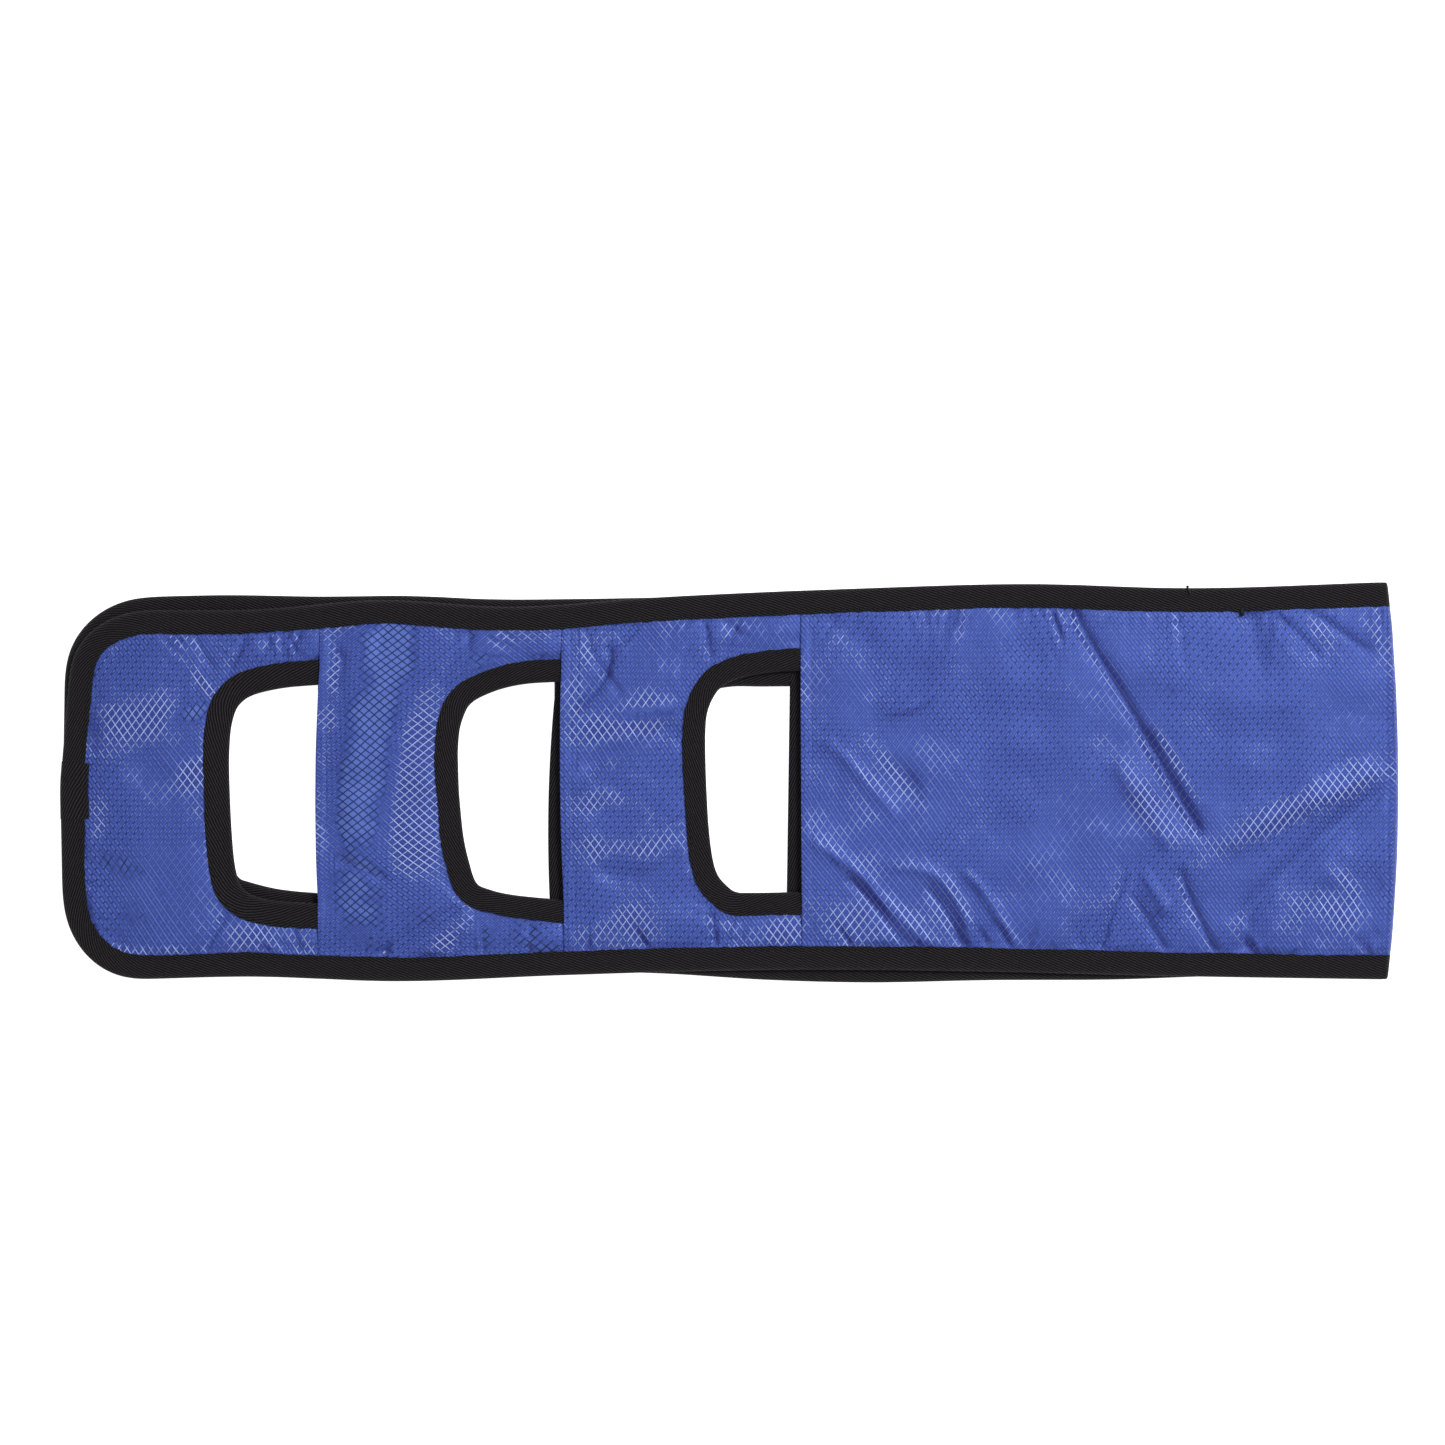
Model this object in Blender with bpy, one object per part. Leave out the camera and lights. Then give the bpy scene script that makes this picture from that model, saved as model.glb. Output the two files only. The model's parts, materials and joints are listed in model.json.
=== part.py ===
"""Wide fabric gait belt, folded double at its middle and laid flat.

Two stacked halves, each a quilted centre panel followed by three handle panels.
Each handle panel has a D-shaped hand hole, and black twill tape binds every edge.
X runs along the belt, with the fold at +X and the rounded ends at -X; +Z is up.
The origin is on the surface that the belt lies on, under the middle of the folded belt.
"""

import math

import bpy
import numpy as np

MM = 0.001

# Driving dimensions of the folded belt.
FOLD_X = 334.0 * MM
TAPE_WIDTH = 12.0 * MM
TAPE_THICKNESS = 0.6 * MM
SHELL_THICKNESS = 0.4 * MM
LINING_THICKNESS = 0.4 * MM
PADDING_THICKNESS = 2.0 * MM
GAP = 0.3 * MM
THREAD_RADIUS = 0.2 * MM
STITCH_INSET = 4.7 * MM
HOLE_SQUARENESS = 3.8

# How far the cloth's raw edge lies inside the fold of its tape, and the thickness of one half.
CLOTH_INSET = TAPE_THICKNESS + GAP
HALF_THICKNESS = 2 * TAPE_THICKNESS + SHELL_THICKNESS + PADDING_THICKNESS + LINING_THICKNESS + 4 * GAP
FOLD_Z = HALF_THICKNESS + GAP / 2

# Spacing of the points along a gently curved edge, how many go round a corner and a hand hole, and
# the straight stretch at a tape's cut ends.
EDGE_STEP = 20.0 * MM
CORNER_STEPS = 7
HOLE_STEPS = 18
CUT_LEAD = 1.0 * MM

# Each half as cut and sewn, in millimetres. An edge is a smooth line through (x, y) points, and a
# corner has two radii, along X and along Y. A hem is the line where one panel ends and the next
# one starts; the hole left of it has a depth along X and a top and a bottom along Y.
HALVES = {
    "upper": {
        "far_edge": [(-290, 86.4), (-235, 86.6), (-175, 91.4), (-108, 87.8), (-40, 92.4), (65, 97.1),
                     (155, 99.4), (225, 97.3), (334, 100.5)],
        "near_edge": [(-295, -98.6), (-240, -97.2), (-165, -99.6), (-85, -96.6), (5, -94.1),
                      (130, -94.7), (215, -96.8), (334, -98.7)],
        "end_x": (-329.5, -334.0, -333.0),
        "far_corner": (40, 33),
        "near_corner": (38, 43),
        "hems": {
            1: {"x": -204.0, "depth": 45.8, "top": 48.3, "bottom": -60.4},
            2: {"x": -82.5, "depth": 51.3, "top": 50.5, "bottom": -58.4},
            3: {"x": 37.0, "depth": 47.0, "top": 55.5, "bottom": -54.8},
        },
    },
    "lower": {
        "far_edge": [(-288, 93.2), (-255, 94.0), (-200, 93.2), (-160, 93.7), (-118, 91.8), (-80, 92.0),
                     (65, 95.6), (155, 98.0), (225, 96.2), (334, 100.0)],
        "near_edge": [(-294, -96.4), (-200, -95.6), (-90, -95.0), (-35, -95.8), (20, -99.2),
                      (70, -100.5), (130, -99.3), (195, -99.0), (255, -97.0), (334, -98.4)],
        "end_x": (-332.6, -333.4, -331.6),
        "far_corner": (43, 40),
        "near_corner": (38, 43),
        "hems": {
            1: {"x": -205.6, "depth": 46.0, "top": 52.0, "bottom": -55.5},
            2: {"x": -87.0, "depth": 48.0, "top": 52.5, "bottom": -56.6},
            3: {"x": 31.5, "depth": 47.0, "top": 48.2, "bottom": -57.0},
        },
    },
}

FINISHES = {
    "blue_ripstop": {"colour": (0.070, 0.115, 0.420), "roughness": 0.55},
    "blue_lining": {"colour": (0.055, 0.090, 0.340), "roughness": 0.70},
    "grey_foam": {"colour": (0.180, 0.185, 0.195), "roughness": 0.95},
    "black_twill": {"colour": (0.014, 0.013, 0.014), "roughness": 0.85},
    "blue_thread": {"colour": (0.040, 0.065, 0.300), "roughness": 0.60},
}


def clear_scene():
    """Removes whatever the file opened with."""
    for leftover in list(bpy.data.objects):
        bpy.data.objects.remove(leftover)


def make_materials():
    """One Principled material for each finish."""
    materials = {}
    for name, finish in FINISHES.items():
        material = bpy.data.materials.new(name)
        material.use_nodes = True
        shader = material.node_tree.nodes["Principled BSDF"]
        shader.inputs["Base Color"].default_value = (*finish["colour"], 1.0)
        shader.inputs["Roughness"].default_value = finish["roughness"]
        shader.inputs["Metallic"].default_value = 0.0
        material.diffuse_color = (*finish["colour"], 1.0)
        materials[name] = material
    return materials


def hem_x(side, number):
    """Place along the belt of a half's hem."""
    return HALVES[side]["hems"][number]["x"] * MM


def make_layers(underside, outwards):
    """Lowest height of each layer of a half. outwards is +1 where the shell is on top, -1 below."""
    order = ["inner_leg", "lining", "padding", "shell", "outer_leg"]
    thickness = {
        "inner_leg": TAPE_THICKNESS,
        "lining": LINING_THICKNESS,
        "padding": PADDING_THICKNESS,
        "shell": SHELL_THICKNESS,
        "outer_leg": TAPE_THICKNESS,
    }
    layers, height = {}, underside
    for layer in order[::outwards]:
        layers[layer] = (height, thickness[layer])
        height += thickness[layer] + GAP
    return layers


def smooth_height(knots, x):
    """Height at x of a smooth line through the knots, with each knot's slope from its neighbours."""
    places, heights = np.transpose(knots) * MM
    slopes = np.gradient(heights, places)
    i = np.clip(np.searchsorted(places, x) - 1, 0, len(places) - 2)
    span = places[i + 1] - places[i]
    t = (x - places[i]) / span
    start = (2 * t**3 - 3 * t**2 + 1) * heights[i] + (t**3 - 2 * t**2 + t) * span * slopes[i]
    finish = (3 * t**2 - 2 * t**3) * heights[i + 1] + (t**3 - t**2) * span * slopes[i + 1]
    return start + finish


def edge_run(knots, start_x, stop_x):
    """Points along an edge from start_x to stop_x."""
    count = max(2, math.ceil(abs(stop_x - start_x) / EDGE_STEP) + 1)
    x = np.linspace(start_x, stop_x, count)
    return np.column_stack([x, smooth_height(knots, x)])


def corner_arc(centre, radii, start_degrees, stop_degrees):
    """Quarter of an ellipse about the centre."""
    angle = np.radians(np.linspace(start_degrees, stop_degrees, CORNER_STEPS))
    return np.column_stack([centre[0] + radii[0] * np.cos(angle), centre[1] + radii[1] * np.sin(angle)])


def end_run(half, start_x):
    """Points round the belt's end: far edge from start_x, two rounded corners, near edge back."""
    far_x, middle_x, near_x = np.array(half["end_x"]) * MM
    far_radii = np.array(half["far_corner"]) * MM
    near_radii = np.array(half["near_corner"]) * MM
    far_centre_x = far_x + far_radii[0]
    near_centre_x = near_x + near_radii[0]
    far_centre_y = smooth_height(half["far_edge"], np.array([far_centre_x]))[0] - far_radii[1]
    near_centre_y = smooth_height(half["near_edge"], np.array([near_centre_x]))[0] + near_radii[1]
    return np.vstack([
        edge_run(half["far_edge"], start_x, far_centre_x)[:-1],
        corner_arc((far_centre_x, far_centre_y), far_radii, 90, 180),
        [(middle_x, (far_centre_y + near_centre_y) / 2)],
        corner_arc((near_centre_x, near_centre_y), near_radii, 180, 270),
        edge_run(half["near_edge"], near_centre_x, start_x)[1:],
    ])


def hole_run(hem):
    """Clear edge of a hand hole, a squared-off half ellipse that opens towards its hem."""
    angle = np.radians(np.linspace(90, -90, HOLE_STEPS + 1))
    across = np.abs(np.cos(angle)) ** (2 / HOLE_SQUARENESS)
    along = np.sign(np.sin(angle)) * np.abs(np.sin(angle)) ** (2 / HOLE_SQUARENESS)
    x = hem["x"] - hem["depth"] * across
    y = (hem["top"] + hem["bottom"]) / 2 + (hem["top"] - hem["bottom"]) / 2 * along
    return np.column_stack([np.minimum(x * MM, hem["x"] * MM - GAP / 2), y * MM])


def shifted(points, distance):
    """The line moved sideways by distance, to the left of the way it runs."""
    steps = np.diff(points, axis=0)
    steps /= np.linalg.norm(steps, axis=1)[:, None]
    along = np.vstack([steps[:1], steps[:-1] + steps[1:], steps[-1:]])
    along /= np.linalg.norm(along, axis=1)[:, None]
    return points + distance * np.column_stack([-along[:, 1], along[:, 0]])


def add_spline(curve, points, closed):
    """A straight-sided spline through the points."""
    spline = curve.splines.new("POLY")
    spline.points.add(len(points) - 1)
    for knot, (x, y) in zip(spline.points, points):
        knot.co = (x, y, 0.0, 1.0)
    spline.use_cyclic_u = closed


def finish_object(name, data, height, material, body):
    """Puts the new object in its body's place in the belt."""
    piece = bpy.data.objects.new(name, data)
    piece.location = (0.0, 0.0, height)
    data.materials.append(material)
    belt.objects.link(piece)
    piece.parent = body
    piece.matrix_parent_inverse = body.matrix_world.inverted()
    return piece


def add_plate(name, outline, layer, material, body):
    """Flat layer of cloth or foam, cut to the outline."""
    underside, thickness = layer
    curve = bpy.data.curves.new(name, "CURVE")
    curve.dimensions = "2D"
    curve.fill_mode = "BOTH"
    curve.extrude = thickness / 2
    add_spline(curve, outline, closed=True)
    return finish_object(name, curve, underside + thickness / 2, material, body)


def make_tape_profile():
    """Cross-section of a tape folded over a raw edge: a slot between two legs, with its fold at 0."""
    curve = bpy.data.curves.new("tape_profile", "CURVE")
    curve.dimensions = "2D"
    half = HALF_THICKNESS / 2
    slot = half - TAPE_THICKNESS
    add_spline(curve, [
        (0.0, -half), (-TAPE_WIDTH, -half), (-TAPE_WIDTH, -slot), (-TAPE_THICKNESS, -slot),
        (-TAPE_THICKNESS, slot), (-TAPE_WIDTH, slot), (-TAPE_WIDTH, half), (0.0, half),
    ], closed=True)
    profile = bpy.data.objects.new("tape_profile", curve)
    profile.hide_render = True
    profile.display_type = "WIRE"
    guides.objects.link(profile)
    return profile


def square_ended(path):
    """The path with a short stretch along X at both ends, so that a tape is cut straight across."""
    lead = np.array([CUT_LEAD, 0.0])
    first = path[0] + lead * np.sign(path[1, 0] - path[0, 0])
    last = path[-1] + lead * np.sign(path[-2, 0] - path[-1, 0])
    return np.vstack([path[:1], first, path[1:-1], last, path[-1:]])


def add_tape(name, path, underside, material, body):
    """Tape folded over an edge. The path is its fold, and its legs lie to the left of the path."""
    curve = bpy.data.curves.new(name, "CURVE")
    curve.dimensions = "2D"
    curve.fill_mode = "NONE"
    curve.bevel_mode = "OBJECT"
    curve.bevel_object = tape_profile
    curve.use_fill_caps = True
    add_spline(curve, square_ended(path), closed=False)
    return finish_object(name, curve, underside + HALF_THICKNESS / 2, material, body)


def add_thread(name, start, stop, height, material, body):
    """Straight row of stitching, as one thread."""
    curve = bpy.data.curves.new(name, "CURVE")
    curve.dimensions = "3D"
    curve.bevel_depth = THREAD_RADIUS
    curve.bevel_resolution = 2
    curve.use_fill_caps = True
    add_spline(curve, [start, stop], closed=False)
    return finish_object(name, curve, height, material, body)


def panel_outline(half, left_hem, right_hem):
    """Cut edge of one panel's cloth, a little inside its tapes. A missing hem is the end or the fold."""
    right_x = FOLD_X - GAP / 2 if right_hem is None else right_hem["x"] * MM - GAP / 2
    if left_hem is None:
        outline = shifted(end_run(half, right_x), CLOTH_INSET)
    else:
        left_x = left_hem["x"] * MM + GAP / 2
        far = shifted(edge_run(half["far_edge"], right_x, left_x), CLOTH_INSET)
        near = shifted(edge_run(half["near_edge"], left_x, right_x), CLOTH_INSET)
        far[-1, 0], near[0, 0] = left_x, left_x
        outline = np.vstack([far, near])
    outline[0, 0], outline[-1, 0] = right_x, right_x
    if right_hem is not None:
        notch = shifted(hole_run(right_hem), -CLOTH_INSET)
        notch[0, 0], notch[-1, 0] = right_x, right_x
        outline = np.vstack([outline, notch[::-1]])
    return outline


def add_panel(prefix, half, layers, left_hem, right_hem, body):
    """Shell, padding and lining of one panel."""
    outline = panel_outline(half, left_hem, right_hem)
    add_plate(prefix + "_shell", outline, layers["shell"], materials["blue_ripstop"], body)
    add_plate(prefix + "_padding", outline, layers["padding"], materials["grey_foam"], body)
    add_plate(prefix + "_lining", outline, layers["lining"], materials["blue_lining"], body)


def add_hem(prefix, half, layers, hem, outwards, body):
    """Black tape on the lining side of a panel's hem, and the stitching on its shell side."""
    left_x = hem["x"] * MM + GAP / 2
    right_x = hem["x"] * MM + TAPE_WIDTH
    clear = TAPE_WIDTH + GAP
    ends = np.array([left_x, right_x])
    far = smooth_height(half["far_edge"], ends) - clear
    near = smooth_height(half["near_edge"], ends) + clear
    outline = [(left_x, near[0]), (right_x, near[1]), (right_x, far[1]), (left_x, far[0])]
    add_plate(prefix + "_tape", outline, layers["inner_leg"], materials["black_twill"], body)
    shell_low, shell_thickness = layers["shell"]
    shell_face = shell_low + shell_thickness if outwards > 0 else shell_low
    thread_x = hem["x"] * MM + STITCH_INSET
    add_thread(prefix + "_stitching", (thread_x, near.max()), (thread_x, far.min()),
               shell_face + outwards * (GAP + THREAD_RADIUS), materials["blue_thread"], body)


def make_body(name, x, z, parent):
    """Empty on the joint line of the pieces that move together."""
    body = bpy.data.objects.new(name, None)
    body.location = (x, 0.0, z)
    belt.objects.link(body)
    bpy.context.view_layer.update()
    if parent is not None:
        body.parent = parent
        body.matrix_parent_inverse = parent.matrix_world.inverted()
        bpy.context.view_layer.update()
    return body


def add_half(side, underside, outwards, bodies):
    """One half of the belt, from its fold to its end."""
    half = HALVES[side]
    hems = half["hems"]
    layers = make_layers(underside, outwards)
    binding_finish = materials["black_twill"]
    add_panel(side + "_centre", half, layers, hems[3], None, bodies["centre"])
    for number in (3, 2, 1):
        body = bodies[number]
        inner_body = bodies["centre"] if number == 3 else bodies[number + 1]
        add_panel(f"{side}_panel_{number}", half, layers, hems.get(number - 1), hems[number], body)
        rim = hole_run(hems[number])[::-1]
        add_tape(f"{side}_hole_{number}_binding", rim, underside, binding_finish, body)
        add_hem(f"{side}_hem_{number}", half, layers, hems[number], outwards, inner_body)


def add_edge_tapes(side, underside, stretches, bodies):
    """Tapes on both long edges over each stretch of a half, and the one round its end."""
    half = HALVES[side]
    black = materials["black_twill"]
    for name, key, right_x, left_x in stretches:
        start_x, stop_x = right_x - GAP / 2, left_x + GAP / 2
        far = edge_run(half["far_edge"], start_x, stop_x)
        near = edge_run(half["near_edge"], stop_x, start_x)
        add_tape(name + "_far_edge_tape", far, underside, black, bodies[key])
        add_tape(name + "_near_edge_tape", near, underside, black, bodies[key])
    end = end_run(half, hem_x(side, 1) - GAP / 2)
    add_tape(side + "_end_tape", end, underside, black, bodies[1])


def build_belt():
    """The lower half, which lies still, and the upper half, hinged at the fold and at its hems."""
    lower_body = make_body("lower_half", 0.0, 0.0, None)
    lower_bodies = {key: lower_body for key in ("centre", 3, 2, 1)}
    add_half("lower", 0.0, -1, lower_bodies)
    add_edge_tapes("lower", 0.0, [("lower", "centre", FOLD_X, hem_x("lower", 1))], lower_bodies)

    underside = HALF_THICKNESS + GAP
    top = underside + HALF_THICKNESS
    parent = make_body("upper_centre", FOLD_X, FOLD_Z, lower_body)
    upper_bodies = {"centre": parent}
    for number in (3, 2, 1):
        parent = make_body(f"upper_panel_{number}", hem_x("upper", number), top, parent)
        upper_bodies[number] = parent
    add_half("upper", underside, 1, upper_bodies)
    add_edge_tapes("upper", underside, [
        ("upper_centre", "centre", FOLD_X, hem_x("upper", 3)),
        ("upper_panel_3", 3, hem_x("upper", 3), hem_x("upper", 2)),
        ("upper_panel_2", 2, hem_x("upper", 2), hem_x("upper", 1)),
    ], upper_bodies)


clear_scene()
belt = bpy.data.collections.new("gait_belt")
guides = bpy.data.collections.new("guides")
bpy.context.scene.collection.children.link(belt)
bpy.context.scene.collection.children.link(guides)
materials = make_materials()
tape_profile = make_tape_profile()
build_belt()
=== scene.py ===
# %% [markdown]
# # A padded transfer belt, folded in half
# The belt is a long padded strip of blue ripstop cloth with hand holes, bound all round in black
# twill tape. It lies folded in half, so it is two layers deep. This lesson follows the sewing room:
# first the outlines, then cloth, lining, padding, tapes and stitches, and the light comes last.

# %% Load the frame
import json
import math

import bpy
import numpy as np
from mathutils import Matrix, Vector
from mathutils.bvhtree import BVHTree


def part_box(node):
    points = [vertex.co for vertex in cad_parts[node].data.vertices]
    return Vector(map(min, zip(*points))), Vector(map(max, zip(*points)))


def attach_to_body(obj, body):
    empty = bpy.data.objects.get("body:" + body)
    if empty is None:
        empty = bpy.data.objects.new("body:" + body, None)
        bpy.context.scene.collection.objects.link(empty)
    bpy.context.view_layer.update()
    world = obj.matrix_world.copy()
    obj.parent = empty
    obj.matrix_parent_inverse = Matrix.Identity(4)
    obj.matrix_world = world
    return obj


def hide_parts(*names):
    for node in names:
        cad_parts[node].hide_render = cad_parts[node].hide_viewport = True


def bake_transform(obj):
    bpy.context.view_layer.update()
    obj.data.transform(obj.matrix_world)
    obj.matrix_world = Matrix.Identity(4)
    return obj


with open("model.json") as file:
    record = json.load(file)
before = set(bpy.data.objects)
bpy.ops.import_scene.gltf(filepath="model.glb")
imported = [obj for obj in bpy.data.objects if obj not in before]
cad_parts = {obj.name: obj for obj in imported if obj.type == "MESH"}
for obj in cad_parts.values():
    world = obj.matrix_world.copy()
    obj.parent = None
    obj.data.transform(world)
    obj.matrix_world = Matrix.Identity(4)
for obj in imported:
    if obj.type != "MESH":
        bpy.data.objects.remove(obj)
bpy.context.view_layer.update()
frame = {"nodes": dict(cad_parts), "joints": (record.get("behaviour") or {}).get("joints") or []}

# %% [markdown]
# ## Sizes
# A sewing pattern is in millimetres, and so is everything below, until a mesh is made. The frame
# gives the places: hinge lines, heights of the layers, edges of the hand holes. What is left to
# choose is how cloth behaves: how far it puffs up, and how wide a folded tape is.

# %% Read the sizes from the frame
MM = 0.001


def box_mm(node):
    """Lowest and highest corner of a frame node, in millimetres."""
    low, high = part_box(node)
    return np.array(low) / MM, np.array(high) / MM


def level(node):
    """Height of the middle of a flat upper-half node above the middle of the folded belt."""
    low, high = box_mm(node)
    return (low[2] + high[2]) / 2 - MIDDLE


HINGES = {joint["name"]: np.array(joint["pos_m"]) / MM for joint in frame["joints"]}
FOLD_X = HINGES["centre_fold"][0]
MIDDLE = HINGES["centre_fold"][2]
TAPE_TOP = box_mm("upper_end_tape")[1][2] - MIDDLE
TAPE_FLOOR = box_mm("upper_end_tape")[0][2] - MIDDLE
SHELL_LEVEL = level("upper_centre_shell")
LINING_LEVEL = level("upper_centre_lining")
PAD_FLOOR = box_mm("upper_centre_padding")[0][2] - MIDDLE
TAPE_WIDTH = 12.0
TAPE_THICKNESS = 0.6
CLOTH = 0.4

HEMS = {
    half: {n: box_mm(f"{half}_hem_{n}_tape")[0][0] - 0.15 for n in (1, 2, 3)}
    for half in ("upper", "lower")
}
print("fold at", FOLD_X, "hems at", HEMS)

# %% [markdown]
# ## One flat belt, then one fold
# A folded strip could be built as two separate layers, and then the cloth would break at the fold.
# Instead the whole belt is drawn laid out flat, along one long X, and a single function folds it.
# Past the fold, X runs on while the real x comes back. R is the height above the middle layer.

# %% The fold
FOLD_START = FOLD_X - TAPE_TOP
FOLD_LENGTH = math.pi * SHELL_LEVEL
FOLD_BULGE = 2.0
CLEARANCE = 0.15


def flat_x(half, x):
    """The place along the flat belt of a point at x: x itself above, mirrored past the fold below."""
    return x if half == "upper" else 2 * FOLD_START + FOLD_LENGTH - x


def settle(X, Y, R):
    """Folds the flat belt. Before the fold x = X and z = middle + R; in the fold the layer turns half a
    circle, x = start + reach * cos(angle), z = middle + R * sin(angle); after it, it runs back below.
    The fold stands out in the middle and is held back by the tapes: reach falls with Y squared. No
    layer comes nearer to the middle than the clearance, so the two halves never share a height."""
    R = np.maximum(R, CLEARANCE)
    turn = np.clip((X - FOLD_START) / FOLD_LENGTH, 0, 1)
    angle = math.pi / 2 - math.pi * turn
    reach = FOLD_X - FOLD_START - 0.25 * (TAPE_TOP - R) + FOLD_BULGE * (1 - (Y / 62) ** 2)
    back = np.clip(X - FOLD_START - FOLD_LENGTH, 0, None)
    x = np.minimum(X, FOLD_START) + reach * np.cos(angle) - back
    return np.stack([x, Y + 0 * x, MIDDLE + R * np.sin(angle)], -1) * MM


# %% [markdown]
# ## Lines: the outline and the hand holes
# The outline is read off the frame: level rays come in from outside, and where they meet the bound
# edge is the edge. A little smoothing takes the corners off the frame's straight pieces. A hand hole
# is a D, cut freehand, so its outline is a smooth line through a few chosen points.

# %% Helpers for lines
def running_length(line):
    """Distance along a line at each of its points."""
    return np.concatenate([[0], np.cumsum(np.linalg.norm(np.diff(line, axis=0), axis=1))])


def resample(line, step):
    """Points every step mm along a line, by its running length."""
    run = running_length(line)
    s = np.linspace(0, run[-1], max(2, int(round(run[-1] / step)) + 1))
    return np.stack([np.interp(s, run, line[:, k]) for k in (0, 1)], -1)


def smooth_line(points, step=1.0):
    """A cubic Hermite curve through a few points: at each, the slope is that of its two neighbours."""
    points = np.array(points, float)
    t = np.arange(len(points))
    slopes = np.gradient(points, axis=0)
    at = np.linspace(0, len(points) - 1, 24 * len(points))
    k = np.clip(at.astype(int), 0, len(points) - 2)
    f = (at - t[k])[:, None]
    curve = ((2 * f**3 - 3 * f**2 + 1) * points[k] + (f**3 - 2 * f**2 + f) * slopes[k]
             + (3 * f**2 - 2 * f**3) * points[k + 1] + (f**3 - f**2) * slopes[k + 1])
    return resample(curve, step)


def left_of(line):
    """Unit normals on the left of a line's direction."""
    along = np.gradient(line, axis=0)
    along /= np.linalg.norm(along, axis=1, keepdims=True)
    return np.stack([-along[:, 1], along[:, 0]], -1)


# %% The outline of the flat belt, anticlockwise from the far end of the fold
CORNER_ROOM = 54.0
OUTSIDE = 300.0


def half_outline(half):
    """Where level rays from outside first meet the bound edge: along Y beside the long edges, and
    towards a point on the middle line round the end."""
    points, faces = [], []
    for name, node in frame["nodes"].items():
        if name.startswith(half) and name.endswith(("edge_tape", "end_tape")):
            start = len(points)
            points += [vertex.co for vertex in node.data.vertices]
            faces += [[start + v for v in face.vertices] for face in node.data.polygons]
    tree = BVHTree.FromPolygons(points, faces)
    side = 1 if half == "upper" else -1
    height = (MIDDLE + side * (TAPE_TOP + TAPE_FLOOR) / 2) * MM
    turn_x = box_mm(f"{half}_end_tape")[0][0] + CORNER_ROOM
    along = np.arange(FOLD_START - 1, turn_x, -4.0)
    rays = [((x, OUTSIDE), (0, -1)) for x in along]
    for a in np.radians(np.arange(90, 270.1, 3)):
        c, s = math.cos(a), math.sin(a)
        rays.append(((turn_x + OUTSIDE * c, OUTSIDE * s), (-c, -s)))
    rays += [((x, -OUTSIDE), (0, 1)) for x in along[::-1]]
    hits = [tree.ray_cast(Vector((p[0] * MM, p[1] * MM, height)), Vector((*d, 0)))[0] for p, d in rays]
    return np.array([(hit.x / MM, hit.y / MM) for hit in hits if hit is not None])


def flat_outline():
    """Both halves' outlines joined into one ring, evened out by a Gaussian average along it."""
    upper, lower = half_outline("upper"), half_outline("lower")[::-1]
    lower[:, 0] = flat_x("lower", lower[:, 0])
    ring = resample(np.concatenate([upper, lower, upper[:1]]), 1.0)[:-1]
    reach = np.arange(-12, 13)
    weights = np.exp(-(reach / 4.0) ** 2 / 2)
    return sum(w * np.roll(ring, k, axis=0) for w, k in zip(weights / weights.sum(), reach))


EDGE = flat_outline()
EDGE_RUN = running_length(EDGE)
EDGE_LENGTH = EDGE_RUN[-1] + np.linalg.norm(EDGE[0] - EDGE[-1])
print("outline of", len(EDGE), "points,", round(EDGE_LENGTH), "mm round")


def edge_place(X, side):
    """Running length of the outline's point nearest to X, on the far (+1) or near (-1) edge."""
    off = np.abs(EDGE[:, 0] - X) + 1e4 * (np.sign(EDGE[:, 1]) != side)
    return EDGE_RUN[np.argmin(off)]


def edge_piece(start, stop, step):
    """The outline from one running length to another, anticlockwise."""
    stop += EDGE_LENGTH * (stop < start)
    s = np.linspace(start, stop, int((stop - start) / step) + 1)
    return np.stack([np.interp(s, EDGE_RUN, EDGE[:, k], period=EDGE_LENGTH) for k in (0, 1)], -1)


def inset_edge(side, inset):
    """The far or near edge moved inwards, as Y for a given X."""
    moved = EDGE + inset * left_of(EDGE)
    kept = moved[np.sign(moved[:, 1]) == side]
    kept = kept[np.argsort(kept[:, 0])]
    return lambda X: np.interp(X, kept[:, 0], kept[:, 1])


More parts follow.
